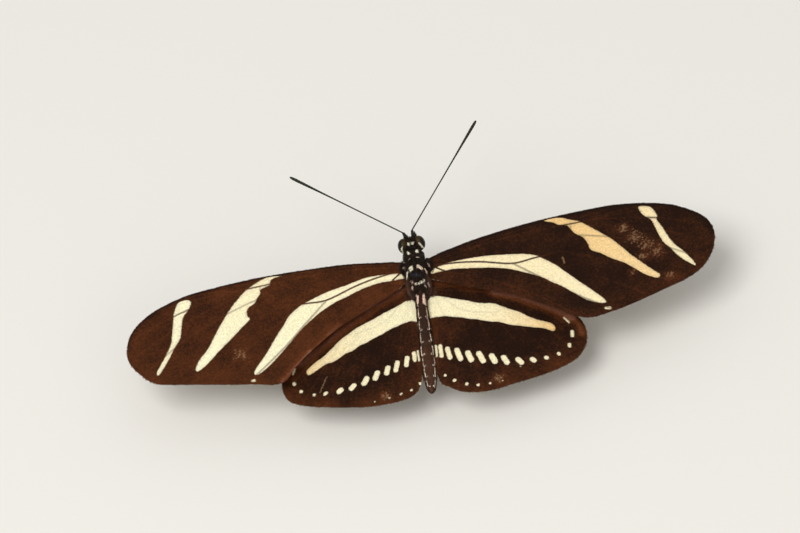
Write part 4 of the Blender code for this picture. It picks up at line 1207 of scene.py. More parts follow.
def body_skin():
    """Head, neck, thorax and abdomen as one skin."""
    bm = bmesh.new()
    add_length(bm, THORAX_SECTIONS, BODY_COAT_DEPTH["thorax"])
    add_length(bm, NECK_SECTIONS, BODY_COAT_DEPTH["neck"])
    add_length(bm, ABDOMEN_SECTIONS, BODY_COAT_DEPTH["abdomen"], per_span=14, joints=ABDOMEN_JOINTS)
    for side in SIDES.values():
        for (x, y, z), size, angle in LOBES.values():
            place = Vector((side * x + midline(y), y, z))
            add_ball(bm, place, size, Matrix.Rotation(side * angle, 3, "Z"))
        for wing in (FOREWING, HINDWING):
            hinge = Vector(wing["hinge"])
            place = Vector((side * (hinge.x - HINGE_INWARD), hinge.y - HINGE_BACK, hinge.z))
            add_ball(bm, place, HINGE_BALL)
        x, y, z = SOCKET_PLACE
        foot, rim = on_head(side * x * 0.8, y * 0.5, z * 0.6), on_head(side * x, y, z)
        add_tube(bm, [foot, foot.lerp(rim, 0.6), rim], [SOCKET_RADIUS * 1.2, SOCKET_RADIUS, SOCKET_RADIUS])
    add_ball(bm, HEAD_CENTRE, HEAD_HALF, head_turn(), 40, 28)
    add_ball(bm, on_head(*FACE_PLACE), FACE_SIZE, head_turn(), 32, 24)
    return fused(bm, SKIN_VOXEL, SKIN_SOFTENING)


def skin_sample(mesh, density, rng):
    """Root points spread over a skin, so many to a square millimetre, with the skin's normals there."""
    places = vertex_array(mesh)
    normals = np.empty(len(mesh.vertices) * 3)
    mesh.vertices.foreach_get("normal", normals)
    normals = normals.reshape(-1, 3)
    mesh.calc_loop_triangles()
    tris = np.empty(len(mesh.loop_triangles) * 3, dtype=np.int32)
    mesh.loop_triangles.foreach_get("vertices", tris)
    tris = tris.reshape(-1, 3)
    a, b, c = (places[tris[:, k]] for k in range(3))
    area = np.linalg.norm(np.cross(b - a, c - a), axis=1) / 2
    middle = (a + b + c) / 3
    expect = area * density(middle)
    count = np.floor(expect + rng.random(len(expect))).astype(int)
    pick = np.repeat(np.arange(len(tris)), count)
    s = np.sqrt(rng.random(len(pick)))
    t = rng.random(len(pick))
    weights = np.column_stack([1 - s, s * (1 - t), s * t])
    roots = sum(weights[:, k, None] * places[tris[pick, k]] for k in range(3))
    ups = unit(sum(weights[:, k, None] * normals[tris[pick, k]] for k in range(3)))
    return roots, ups


def lean(ways, ups, raise_angle):
    """Ways laid along the surface, then raised off it; also the face that each turns up."""
    flat = unit(ways - np.sum(ways * ups, axis=1)[:, None] * ups)
    angle = raise_angle[:, None]
    raised = flat * np.cos(angle) + ups * np.sin(angle)
    face = ups * np.cos(angle) - flat * np.sin(angle)
    return raised, face


def body_map(roots):
    """An unwrap of the body: round it and along it."""
    places, heights = np.array(BODY_AXIS).T
    axis_z = np.interp(roots[:, 1], places, heights)
    around = np.arctan2(roots[:, 2] - axis_z, roots[:, 0] - midline(roots[:, 1]))
    shares = np.column_stack([around / math.tau + 0.5, (roots[:, 1] - BODY_BACK) / BODY_LENGTH])
    return MAP_MARGIN + (1.0 - 2.0 * MAP_MARGIN) * shares


def outside_eyes(places):
    """Which places lie clear of both eyes."""
    clear = np.ones(len(places), dtype=bool)
    for side in SIDES.values():
        back = np.array(eye_place(side).inverted())
        local = places @ back[:3, :3].T + back[:3, 3]
        clear &= np.linalg.norm(local, axis=1) > EYE_CLEAR
    return clear


def coat_batch(shape, roots, ways, ups, widths, lengths, marks, bake, matrix=None):
    """Copies of one shape to lay: where, how large, with which marks and places on the map."""
    laid = (roots, ways, ups, widths, lengths)
    return {"shape": shape, "laid": laid, "marks": marks, "map": bake, "matrix": matrix}


def hair_batch(roots, ups, ways, rng, length, width, rise, bend, longer=1.0, extra=None):
    """Tufts at the given roots that lie along the given ways, some made longer or shorter."""
    count = len(roots)
    ways = ways + rng.normal(0.0, 0.22, (count, 3))
    ways, faces = lean(ways, ups, rise * rng.uniform(0.7, 1.3, count))
    lengths = length * rng.uniform(0.65, 1.15, count)
    marks = body_marks(roots + ways * lengths[:, None] * 0.6)
    marks["shade"] = rng.random(count)
    marks.update(extra or {})
    widths = width * rng.uniform(0.7, 1.2, count)
    tuft = hair_shape(bend)
    return coat_batch(tuft, roots, ways, faces, widths, lengths * longer, marks, body_map(roots))


def thorax_coat(mesh, rng):
    """Long hair on the thorax and collar, lying back and out."""
    length = bpy.context.scene.butterfly_body.hair_length / MM
    back, front = THORAX_REACH

    def density(p):
        return np.where((p[:, 1] < front) & (p[:, 1] > back), THORAX_TUFTS, 0.0)

    roots, ups = skin_sample(mesh, density, rng)
    # It parts at the middle, hangs at the sides, and is shorter on the collar.
    out = 0.25 * np.sign(roots[:, 0] - midline(roots[:, 1]))
    ways = np.column_stack([out, -np.ones(len(roots)), np.where(roots[:, 2] > 8.2, 0.0, -0.5)])
    shorter = 1.0 - 0.35 * (roots[:, 1] > 1.9)
    return coat_mesh([hair_batch(roots, ups, ways, rng, length, longer=shorter, **THORAX_HAIR)])


def abdomen_coat(mesh, rng):
    """Flat scales on the abdomen, pointing back like tiles."""
    length = bpy.context.scene.butterfly_body.scale_length / MM

    def density(p):
        return np.where(p[:, 1] < SCALES_FRONT, ABDOMEN_SCALES, 0.0)

    roots, ups = skin_sample(mesh, density, rng)
    count = len(roots)
    ways = np.tile((0.0, -1.0, 0.0), (count, 1)) + rng.normal(0.0, 0.10, (count, 3))
    ways, faces = lean(ways, ups, rng.uniform(0.05, 0.20, count))
    marks = body_marks(roots)
    marks["shade"] = rng.random(count)
    widths = length * 0.55 * rng.uniform(0.8, 1.2, count)
    lengths = length * rng.uniform(0.8, 1.15, count)
    flat = coat_batch(BODY_SCALE, roots, ways, faces, widths, lengths, marks, body_map(roots))

    def sparse(p):
        tufts = ABDOMEN_TUFTS + TAIL_TUFTS * (p[:, 1] < TAIL_FRONT)
        return np.where(p[:, 1] < ABDOMEN_HAIR_FRONT, tufts, 0.0)

    roots, ups = skin_sample(mesh, sparse, rng)
    ways = np.tile((0.0, -1.0, 0.0), (len(roots), 1))
    return coat_mesh([flat, hair_batch(roots, ups, ways, rng, **ABDOMEN_HAIR)])


def orbit_batch(side, rng):
    """Short tufts on the hind rim of an eye, where the head's scales overlap it."""
    points = unit(rng.normal(size=(ORBIT_DRAWS, 3)))
    points = points[points @ (-side * ORBIT_WAY[0], *ORBIT_WAY[1:]) > ORBIT_EDGE]
    place = np.array(eye_place(side))
    roots = points @ place[:3, :3].T + place[:3, 3]
    ups = unit(points @ np.linalg.inv(place[:3, :3]))
    ways = np.tile((0.5 * side, -0.7, -0.2), (len(roots), 1))
    return hair_batch(roots, ups, ways, rng, **ORBIT_HAIR)


def head_coat(mesh, rng):
    """Short hair over the crown, brow and face."""
    def density(p):
        return np.where(p[:, 1] >= HEAD_BACK, HEAD_TUFTS, 0.0)

    roots, ups = skin_sample(mesh, density, rng)
    keep = outside_eyes(roots)
    roots, ups = roots[keep], ups[keep]
    # It points forward except at the nape, up on the crown, where it is longer, and down on the face.
    x, y, z = (roots - np.array(HEAD_CENTRE)).T
    up = 0.5 * np.clip(z, 0.0, 1.0) - 0.8 * (z < 0)
    ways = np.column_stack([0.2 * x, 0.9 - 0.9 * (y < -0.3), up])
    batch = hair_batch(roots, ups, ways, rng, longer=np.where(z > 0.6, 1.25, 0.85), **HEAD_HAIR)
    return coat_mesh([batch] + [orbit_batch(side, rng) for side in SIDES.values()])


class BUTTERFLY_OT_body(bpy.types.Operator):
    """Build the body's skin and its coat of hair and scales"""

    bl_idname = "butterfly.body"
    bl_label = "Body"

    def execute(self, context):
        rng = np.random.default_rng(SEED)
        finish = body_coat()
        mesh = body_skin()
        coats = {
            "thorax_hair": thorax_coat(mesh, rng),
            "abdomen_scales": abdomen_coat(mesh, rng),
            "head_hair": head_coat(mesh, rng),
        }
        marks = body_marks(vertex_array(mesh))
        marks["shade"] = np.full(len(mesh.vertices), SKIN_SHADE)
        set_marks(mesh, marks)
        place_piece(mesh, "body_skin", finish, ("head", "neck", "thorax", "abdomen"))
        for name, coat in coats.items():
            place_piece(coat, name, finish, smooth=False)
        return {"FINISHED"}


class BUTTERFLY_OT_eyes(bpy.types.Operator):
    """Build the two compound eyes"""

    bl_idname = "butterfly.eyes"
    bl_label = "Eyes"

    def execute(self, context):
        finish = eye_lens()
        for name, side in SIDES.items():
            bm = bmesh.new()
            bmesh.ops.create_uvsphere(bm, u_segments=64, v_segments=48, radius=1.0)
            rim = [min(1.0, max(0.0, 1.0 - side * vert.co.x)) for vert in bm.verts]
            bmesh.ops.transform(bm, matrix=eye_place(side), verts=bm.verts)
            mesh = mesh_of(bm)
            set_marks(mesh, {"rim": rim})
            place_piece(mesh, f"{name}_eye_lens", finish, (f"eye_{name}",))
        return {"FINISHED"}


class BUTTERFLY_OT_feelers(bpy.types.Operator):
    """Build the two antennae, ring by ring"""

    bl_idname = "butterfly.feelers"
    bl_label = "Antennae"

    def execute(self, context):
        finish = feeler_cuticle()
        base_shares, base_radii = np.array(BASE_SEGMENT_PROFILE).T
        shares, widths = np.array(ANTENNA_PROFILE).T
        parts = [k + part for k in range(ANTENNA_RINGS) for part in RING_PARTS] + [ANTENNA_RINGS]
        steps = np.array(parts) / ANTENNA_RINGS
        bulge = RING_WAIST + (1.0 - RING_WAIST) * np.sin(math.pi * ((steps * ANTENNA_RINGS) % 1.0))
        for name, side in SIDES.items():
            x, y, z = SOCKET_PLACE
            socket = np.array(on_head(side * x, y, z))
            bend = np.array(on_head(*BASE_SEGMENT_TIP[name]))
            base = socket + (bend - socket) * base_shares[:, None]
            turn, rise = ANTENNA_TURN[name], ANTENNA_RISE[name]
            flat = math.cos(rise)
            way = np.array((side * math.sin(turn) * flat, math.cos(turn) * flat, math.sin(rise)))
            shaft = bend + way * ANTENNA_LENGTH * steps[:, None]
            bm = bmesh.new()
            add_tube(bm, base, base_radii, 16)
            add_tube(bm, shaft, np.interp(steps, shares, widths) * bulge, 14)
            mesh = mesh_of(bm)
            reach = (vertex_array(mesh) - bend) @ way / ANTENNA_LENGTH * ANTENNA_RINGS
            ring = np.abs((reach % 1.0) - 0.5) * 2.0 * (reach > 0.0)
            set_marks(mesh, {"ring": ring})
            place_piece(mesh, f"{name}_feeler", finish, (f"antenna_{name}",))
        return {"FINISHED"}


def build_palp(name, coat, rng):
    """A curved, tapering palp, black with white sides, and its coat of hair."""
    shares = np.linspace(0, 1, 16)
    bends = [on_head(SIDES[name] * x, y, z) for x, y, z in PALP_PATH]
    path = along(smooth_curve(bends, 8), shares)
    bm = bmesh.new()
    add_tube(bm, path, spread(PALP_RADII, shares), 20)
    mesh = mesh_of(bm)
    roots, ups = skin_sample(mesh, lambda p: np.full(len(p), PALP_TUFTS), rng)
    way = unit(np.gradient(path, axis=0))
    nearest = np.argmin(np.linalg.norm(roots[:, None] - path[None], axis=2), axis=1)
    pale = np.where(np.abs(ups[:, 0]) > 0.75, -0.2, 0.2)
    extra = {"pale": pale, "warmth": np.full(len(roots), 0.2)}
    hair = coat_mesh([hair_batch(roots, ups, way[nearest], rng, extra=extra, **PALP_HAIR)])
    marks = {"pale": 1.0, "warmth": 0.0, "brown": 0.2, "shade": 0.3}
    set_marks(mesh, {key: np.full(len(mesh.vertices), value) for key, value in marks.items()})
    place_piece(mesh, f"{name}_palp_core", coat, (f"palp_{name}",))
    place_piece(hair, f"{name}_palp_hair", coat, smooth=False)


def build_tongue(rng):
    """The proboscis: a ribbed tube that tapers into its own coil."""
    shares = np.linspace(0, 1, COIL_STEPS + 1)
    angles = COIL_START - shares * COIL_TURNS * math.tau
    radii = COIL_OUTER + (COIL_INNER - COIL_OUTER) * shares
    y, z = COIL_CENTRE
    path = [on_head(0.0, y + r * math.cos(a), z + r * math.sin(a)) for a, r in zip(angles, radii)]
    ribs = 1.0 + COIL_RIB * np.sin(shares * COIL_STEPS * COIL_RIB_TURN)
    bm = bmesh.new()
    add_tube(bm, path, COIL_RADIUS * (1.0 - 0.5 * shares) * ribs, 12)
    mesh = mesh_of(bm)
    set_marks(mesh, {"ring": rng.random(len(mesh.vertices)) * 0.3})
    place_piece(mesh, "coiled_tongue", tongue_cuticle(), ("proboscis",))


class BUTTERFLY_OT_mouth(bpy.types.Operator):
    """Build the scaled palps and the coiled proboscis"""

    bl_idname = "butterfly.mouth"
    bl_label = "Mouth parts"

    def execute(self, context):
        rng = np.random.default_rng(SEED + 1)
        coat = body_coat()
        for name in SIDES:
            build_palp(name, coat, rng)
        build_tongue(rng)
        return {"FINISHED"}


def add_limb(bm, start, end, radii, steps, sides):
    """A length of leg between two places, thick and thin by its row of radii."""
    shares = np.linspace(0, 1, steps)
    add_tube(bm, along(np.array([start, end], dtype=float), shares), spread(radii, shares), sides)


def add_spines(bm, start, end, radius, count, length, rng):
    """Short stiff spines down a length of leg, pointing towards its foot."""
    start, end = Vector(start), Vector(end)
    way = (end - start).normalized()
    side = way.orthogonal().normalized()
    for i in range(count):
        spot = start.lerp(end, (i + 0.5) / count)
        out = Matrix.Rotation(rng.uniform(0, math.tau), 3, way) @ side
        root = spot + out * radius * 0.7
        tip = root + out * length * 0.6 + way * length * 0.8
        tip.z = max(tip.z, 0.012)
        add_tube(bm, [root, root.lerp(tip, 0.5), tip], SPINE_RADII, 4)


def walking_leg(points, side, rng):
    """Thigh, shin, five foot segments and two claws, the foot flat on the floor."""
    hip, knee, ankle, toe = (Vector((side * x, y, z)) for x, y, z in points)
    hip.x += float(midline(hip.y))
    bm = bmesh.new()
    add_limb(bm, hip, knee, THIGH_RADII, 14, 16)
    add_limb(bm, knee, ankle, SHIN_RADII, 14, 14)
    add_ball(bm, knee, (KNEE_RADIUS, KNEE_RADIUS, KNEE_RADIUS), None, 16, 10)
    start = 0.0
    for share in FOOT_SHARES:
        a, b = ankle.lerp(toe, start), ankle.lerp(toe, start + share)
        add_limb(bm, a, b, FOOT_RADII, 6, 12)
        add_spines(bm, a, b, 0.1, 5, 0.16, rng)
        start += share
    way = (toe - ankle).normalized()
    across = way.cross(Vector((0, 0, 1))).normalized()
    for turn in (-1, 1):
        base = toe + across * turn * 0.05
        mid = base + way * 0.16 + across * turn * 0.10
        tip = base + way * 0.24 + across * turn * 0.14
        mid.z, tip.z = 0.10, 0.015
        add_tube(bm, smooth_curve([base, mid, tip], 3), np.linspace(*CLAW_RADII, 7), 6)
    add_spines(bm, knee, ankle, 0.15, 22, 0.20, rng)
    for turn in (-1, 1):
        spur = ankle + across * turn * 0.1
        mid = spur + way * 0.2 + across * turn * 0.06
        tip = spur + way * 0.38 + across * turn * 0.08
        add_tube(bm, [spur, mid, tip], SPUR_RADII, 6)
    return mesh_of(bm), (hip, knee)


class BUTTERFLY_OT_legs(bpy.types.Operator):
    """Build the four walking legs and the two folded brush feet"""

    bl_idname = "butterfly.legs"
    bl_label = "Legs"

    def execute(self, context):
        rng = np.random.default_rng(SEED + 2)
        finish = leg_cuticle()
        for name, side in SIDES.items():
            for leg, points in WALKING_LEGS.items():
                mesh, (hip, knee) = walking_leg(points, side, rng)
                places = vertex_array(mesh)
                start, end = (at - Vector((0, 0, drop)) for at, drop in zip((hip, knee), THIGH_LINE))
                set_marks(mesh, {"pale": stroke_gap(places, start, end, THIGH_LINE_HALF)})
                place_piece(mesh, f"{name}_{leg}_limb", finish, (f"{leg}_{name}",))
            hip, knee, tip = (Vector((side * x + float(midline(y)), y, z)) for x, y, z in BRUSH_FOOT)
            bm = bmesh.new()
            add_limb(bm, hip, knee, BRUSH_THIGH_RADII, 10, 14)
            add_limb(bm, knee, tip, BRUSH_RADII, 12, 14)
            add_spines(bm, knee, tip, 0.16, 60, 0.30, rng)
            mesh = mesh_of(bm)
            set_marks(mesh, {"pale": np.full(len(mesh.vertices), 1.0)})
            place_piece(mesh, f"{name}_brush_foot", finish, (f"foreleg_{name}",))
        return {"FINISHED"}


def wing_place(wing, name):
    """The matrix that sets a flat wing, drawn outward and forward, at its hinge and angles."""
    side = SIDES[name]
    across, forward, up = wing["hinge"]
    turn = (
        Matrix.Rotation(INCIDENCE, 4, "X")
        @ Matrix.Rotation(-side * wing["lift"], 4, "Y")
        @ Matrix.Rotation(-side * wing["sweep"][name], 4, "Z")
    )
    return Matrix.Translation((side * across, forward, up)) @ turn @ Matrix.Diagonal((side, 1.0, 1.0, 1.0))


def margins(wing, name):
    """The leading and trailing edges, each from the hinge to the tip, and the whole outline."""
    per_span = 10
    outline = smooth_curve(wing["outline"][name], per_span, closed=True)
    tip = wing["apex"] * per_span
    last = (len(wing["outline"][name]) - 1) * per_span
    return outline[:tip + 1], outline[tip:last + 1][::-1], outline


def vein_runs(wing):
    """A smooth run of points for each vein."""
    return {name: smooth_curve(points, 8) for name, points in wing["veins"].items()}


def vein_gaps(wing, spots):
    """The gap from each spot to its nearest vein, and how dark a line it draws across a pale band."""
    gap = np.full(len(spots), np.inf)
    dark = np.zeros(len(spots))
    for name, run in vein_runs(wing).items():
        near, _ = gap_to_run(spots, run)
        gap = np.minimum(gap, near)
        strength = wing["dark_veins"].get(name, FAINT_VEIN)
        dark = np.maximum(dark, strength * np.clip(1.6 * (1.0 - near / VEIN_LINE_HALF), 0.0, 1.0))
    for start, end, half in wing["bars"]:
        dark = np.maximum(dark, np.clip(1.0 - stroke_gap(spots, start, end, half) / 0.05, 0.0, 1.0))
    return gap, dark


def wing_height(wing, spots, gap):
    """The height of the membrane's middle: arched outward, and drawn up a little at each vein."""
    share = np.clip(spots[:, 0] / wing["span"], 0.0, 1.0)
    shoulder = VEIN_SHOULDER * np.exp(-(gap / VEIN_SHOULDER_WIDTH) ** 2)
    return wing["arch"] * np.sin(math.pi * share) + shoulder


def wing_half(wing, spots, rim_gap):
    """Half the membrane's thickness, thinner towards the tip and at the rim."""
    looks = bpy.context.scene.butterfly_wings
    share = np.clip(spots[:, 0] / wing["span"], 0.0, 1.0)
    full = (looks.root_thickness + (looks.tip_thickness - looks.root_thickness) * share) / MM
    return (RIM_THICKNESS + (full - RIM_THICKNESS) * np.clip(rim_gap / RIM_WIDTH, 0.0, 1.0)) / 2


def spot_gaps(wing, name, spots):
    """How far each point is outside the nearest pale spot."""
    best = np.full(len(spots), np.inf)
    for *tips, half in wing["spots"][name]:
        first, last = np.array(tips).reshape(2, 2)
        inward = (last - first) * min(0.5, half / max(math.dist(first, last), 1e-6))
        best = np.minimum(best, stroke_gap(spots, first + inward, last - inward, half))
    return best


def pale_marks(wing, name, spots):
    """The gap from each spot to the nearest pale mark of a wing, and how warm that mark is."""
    pale = spot_gaps(wing, name, spots)
    warmth = np.full(len(spots), SPOT_WARMTH)
    for band, points in wing["bands"][name].items():
        loop = smooth_curve(points, 5, closed=True)
        gap = signed_gap(spots, loop)
        first, last = wing["warmth"][name][band]
        a, b = loop[0], loop[len(loop) // 2]
        share = np.clip((spots - a) @ (b - a) / ((b - a) @ (b - a)), 0.0, 1.0)
        closer = gap < pale
        pale[closer] = gap[closer]
        warmth[closer] = (first + (last - first) * share ** wing["warmth_rise"])[closer]
    return pale, warmth


def wing_marks(wing, name, spots):
    """Where the pale, dark, worn and ruby marks lie on a wing, and how light its brown is."""
    pale, warmth = pale_marks(wing, name, spots)
    lead, trail, outline = margins(wing, name)
    rim_gap, _ = gap_to_run(spots, closed_run(outline))
    lead_gap, _ = gap_to_run(spots, lead)
    trail_gap, _ = gap_to_run(spots, trail)
    inside, margin = wing["tone"][name]
    tone = inside + margin * np.exp(-trail_gap / TRAIL_REACH) - LEAD_DARK * np.exp(-lead_gap / LEAD_REACH)
    # Painted sheen: strips painted lighter where scales catch the light or the forewing shades the
    # hindwing.
    for gain, width, run in wing["sheen"][name]:
        near, _ = gap_to_run(spots, smooth_curve(run, 6))
        tone += gain * np.exp(-(near / width) ** 2)
    vein_gap, dark = vein_gaps(wing, spots)
    # A painted highlight along each vein, where its ridge catches the light.
    tone += VEIN_SHEEN * np.exp(-(vein_gap / VEIN_SHEEN_HALF) ** 2)
    worn = np.zeros(len(spots))
    for u, v, reach in wing["worn"][name]:
        worn = np.maximum(worn, np.exp(-(np.linalg.norm(spots - (u, v), axis=1) / reach) ** 2))
    tone += WORN_TONE * worn
    for start, end, half in wing["scratches"][name]:
        worn[stroke_gap(spots, start, end, half) < 0.0] = SCRATCHED
    ruby = np.full(len(spots), 9.0)
    for u, v, reach in wing["ruby"]:
        ruby = np.minimum(ruby, np.linalg.norm(spots - (u, v), axis=1) - reach)
    marks = {"pale": pale, "warmth": warmth, "vein": dark, "worn": worn, "ruby": ruby, "tone": tone}
    return marks, rim_gap


def wing_sheet(wing, name):
    """The membrane: a grid drawn between the two margins, given its thickness and arched."""
    lead, trail, _ = margins(wing, name)
    bm = bmesh.new()
    columns, rows = wing["grid"]
    bmesh.ops.create_grid(bm, x_segments=columns, y_segments=rows, size=1.0)
    verts = list(bm.verts)
    flat = np.array([vert.co[:2] for vert in verts])
    shares = (flat + 1.0) / 2.0
    front, back = along(lead, shares[:, 0]), along(trail, shares[:, 0])
    spots = back + (front - back) * shares[:, 1, None]
    for vert, (u, v) in zip(verts, spots):
        vert.co = (u, v, 0.0)
    bmesh.ops.remove_doubles(bm, verts=bm.verts, dist=0.01)
    kept = set(bm.verts)
    bmesh.ops.extrude_face_region(bm, geom=list(bm.faces), use_keep_orig=True)
    verts = list(bm.verts)
    spots = np.array([vert.co[:2] for vert in verts])
    top = np.array([vert in kept for vert in verts])
    gap, _ = vein_gaps(wing, spots)
    marks, rim_gap = wing_marks(wing, name, spots)
    heights = wing_height(wing, spots, gap)
    heights += np.where(top, 1.0, -1.0) * wing_half(wing, spots, rim_gap)
    for vert, height in zip(verts, heights):
        vert.co.z = height
    marks["under"] = np.where(top, 0.0, 1.0)
    marks["shade"] = np.full(len(verts), MEMBRANE_SHADE)
    return bm, marks


def vein_radii(wing, spots):
    """How thick a vein is at each spot: thinner towards the tip."""
    radius = bpy.context.scene.butterfly_wings.vein_radius / MM
    reach = np.linalg.norm(spots, axis=1) / wing["span"]
    return radius * (1.0 - VEIN_TAPER * np.clip(reach, 0.0, 1.0))


def add_veins(bm, wing, name):
    """Each vein as a tapering tube sunk part way into the membrane."""
    outline = margins(wing, name)[2]
    for run in vein_runs(wing).values():
        path = along(run, np.linspace(0.0, 1.0, max(6, round(length_of(run) / VEIN_STEP))))
        path = path[signed_gap(path, outline) < -VEIN_END_GAP]
        heights = wing_height(wing, path, np.zeros(len(path)))
        radii = vein_radii(wing, path)
        add_tube(bm, np.column_stack([path, heights - radii * VEIN_SUNK]), radii, 8)


def build_wing(wing, name, title, finish):
    """A wing's membrane and veins as one piece."""
    bm, marks = wing_sheet(wing, name)
    count = len(bm.verts)
    add_veins(bm, wing, name)
    extra = np.array([vert.co[:2] for vert in list(bm.verts)[count:]])
    heights = np.array([vert.co.z for vert in list(bm.verts)[count:]])
    more, _ = wing_marks(wing, name, extra)
    middle = wing_height(wing, extra, np.zeros(len(extra)))
    more["under"] = np.where(heights > middle, 0.0, 1.0)
    more["shade"] = np.full(len(extra), MEMBRANE_SHADE)
    bmesh.ops.transform(bm, matrix=wing_place(wing, name), verts=bm.verts)
    mesh = mesh_of(bm)
    set_marks(mesh, {key: np.concatenate([marks[key], more[key]]) for key in marks})
    place_piece(mesh, f"{name}_{title}_membrane", finish, (f"{title}_{name}",))


def scale_rows(wing, name, across, forward, rng):
    """Roots of the scales in arcs about a point inside the body, with the way each one points."""
    centre = np.array(wing["lie"])
    outline = margins(wing, name)[2]
    low, high = outline.min(axis=0), outline.max(axis=0)
    corners = np.array([(x, y) for x in (low[0], high[0]) for y in (low[1], high[1])]) - centre
    reach = np.linalg.norm(corners, axis=1).max()
    spots = []
    for radius in np.arange(1.0, reach, forward):
        count = int(math.tau * radius / across)
        angles = math.tau * (np.arange(count) + rng.random()) / count
        angles = angles[(angles > SCALE_ARC[0]) | (angles < SCALE_ARC[1])]
        spots.append(centre + radius * np.column_stack([np.cos(angles), np.sin(angles)]))
    spots = np.vstack(spots)
    spots += rng.normal(0.0, across * SCALE_JITTER, spots.shape)
    spots = spots[inside_loop(spots, outline)]
    return spots, unit(spots - centre)


def drape_over_veins(wing, spots, gap):
    """How much higher a scale sits where a vein passes under it."""
    radii = vein_radii(wing, spots)
    return np.sqrt(np.maximum(radii ** 2 - gap ** 2, 0.0)) - radii * VEIN_SUNK


def wing_map(wing, name, spots, corner):
    """The wing laid flat in one quarter of the map."""
    outline = np.array(wing["outline"][name])
    lowest, highest = outline.min(axis=0), outline.max(axis=0)
    flat = (spots - lowest) / (highest - lowest).max() * WING_MAP_SIZE
    return WING_MAP_MARGIN + flat + np.array(corner)


def face_batch(wing, name, face, width, rng):
    """Scales over one face of a wing, 1 for the upper and -1 for the lower, in rows like tiles."""
    spots, lie = scale_rows(wing, name, *(width * step for step in SCALE_STEPS), rng)
    count = len(spots)
    lengths = width * SCALE_LENGTH * rng.uniform(0.85, 1.12, count)
    marks, rim_gap = wing_marks(wing, name, spots + lie * lengths[:, None] * 0.4)
    gap, _ = vein_gaps(wing, spots)
    half = np.maximum(wing_half(wing, spots, rim_gap), drape_over_veins(wing, spots, gap))
    ways = np.column_stack([lie, np.zeros(count)]) + rng.normal(0.0, 0.05, (count, 3)) * (1, 1, 0)
    ups = np.column_stack([rng.normal(0.0, 0.05, (count, 2)), np.full(count, float(face))])
    ways, ups = lean(ways, unit(ups), rng.uniform(0.02, 0.08, count))
    roots = np.column_stack([spots, wing_height(wing, spots, gap) + face * (half + SCALE_LIFT)])
    marks["under"] = np.full(count, 0.0 if face > 0 else 1.0)
    marks["shade"] = rng.random(count)
    bake = wing_map(wing, name, spots, (0.0 if face > 0 else 0.5, 0.0))
    widths = width * rng.uniform(0.88, 1.15, count)
    place = wing_place(wing, name)
    return coat_batch(WING_SCALE, roots, ways, ups, widths, lengths, marks, bake, place)


def fringe_batch(wing, name, rng):
    """Two rows of fine hair scales that stand out past a wing's margin."""
    length = bpy.context.scene.butterfly_wings.fringe_length / MM
    outline = margins(wing, name)[2]
    steps = int(length_of(outline) / FRINGE_STEP)
    rim = along(closed_run(outline), np.linspace(0, 1, steps, endpoint=False))
    tangent = unit(np.roll(rim, -1, axis=0) - np.roll(rim, 1, axis=0))
    outward = np.column_stack([-tangent[:, 1], tangent[:, 0]])
    outward += unit(rim - np.array(wing["lie"])) * 0.5
    keep = rim[:, 0] > FRINGE_START
    rim, outward = rim[keep], unit(outward[keep])
    count = len(rim)
    marks, _ = wing_marks(wing, name, rim)
    gap, _ = vein_gaps(wing, rim)
    level = np.where(np.arange(count) % 2, FRINGE_LEVEL, -FRINGE_LEVEL)
    roots = np.column_stack([rim - outward * FRINGE_SUNK, wing_height(wing, rim, gap) + level])
    ways = np.column_stack([outward, np.zeros(count)]) + rng.normal(0.0, 0.09, (count, 3))
    ups = np.tile((0.0, 0.0, 1.0), (count, 1)) + rng.normal(0.0, 0.10, (count, 3))
    ways, ups = lean(ways, unit(ups), np.zeros(count))
    marks["under"] = np.zeros(count)
    marks["shade"] = rng.random(count)
    lengths = length * rng.uniform(0.7, 1.15, count)
    bake = wing_map(wing, name, rim, (0.0, 0.5))
    widths = np.full(count, FRINGE_WIDTH)
    place = wing_place(wing, name)
    return coat_batch(WING_SCALE, roots, ways, ups, widths, lengths, marks, bake, place)


def wing_coat(wing, name, title, finish, rng):
    """Fine scales on a wing, coarser ones under it, and a fringe round its margin."""
    looks = bpy.context.scene.butterfly_wings
    upper = face_batch(wing, name, 1, looks.upper_scale / MM, rng)
    lower = face_batch(wing, name, -1, looks.lower_scale / MM, rng)
    coats = {"upper": [upper], "lower": [lower, fringe_batch(wing, name, rng)]}
    for face, batches in coats.items():
        scales = f"{name}_{title}_scales_{face}"
        place_piece(coat_mesh(batches), scales, finish, smooth=False)


class BUTTERFLY_OT_wings(bpy.types.Operator):
    """Build the four wings, their veins, scales and fringes"""

    bl_idname = "butterfly.wings"
    bl_label = "Wings"

    def execute(self, context):
        rng = np.random.default_rng(SEED + 3)
        finish = wing_scales()
        for title, wing in (("forewing", FOREWING), ("hindwing", HINDWING)):
            for name in SIDES:
                build_wing(wing, name, title, finish)
                wing_coat(wing, name, title, finish, rng)
        return {"FINISHED"}


def soft_light(name, place, size, power):
    """A square soft light, turned to the butterfly."""
    light = bpy.data.lights.new(name, "AREA")
    light.size = size
    light.energy = power
    item = bpy.data.objects.new(name, light)
    item.location = place
    item.rotation_euler = (Vector(LIGHT_AIM) - Vector(place)).to_track_quat("-Z", "Y").to_euler()
    bpy.context.scene.collection.objects.link(item)


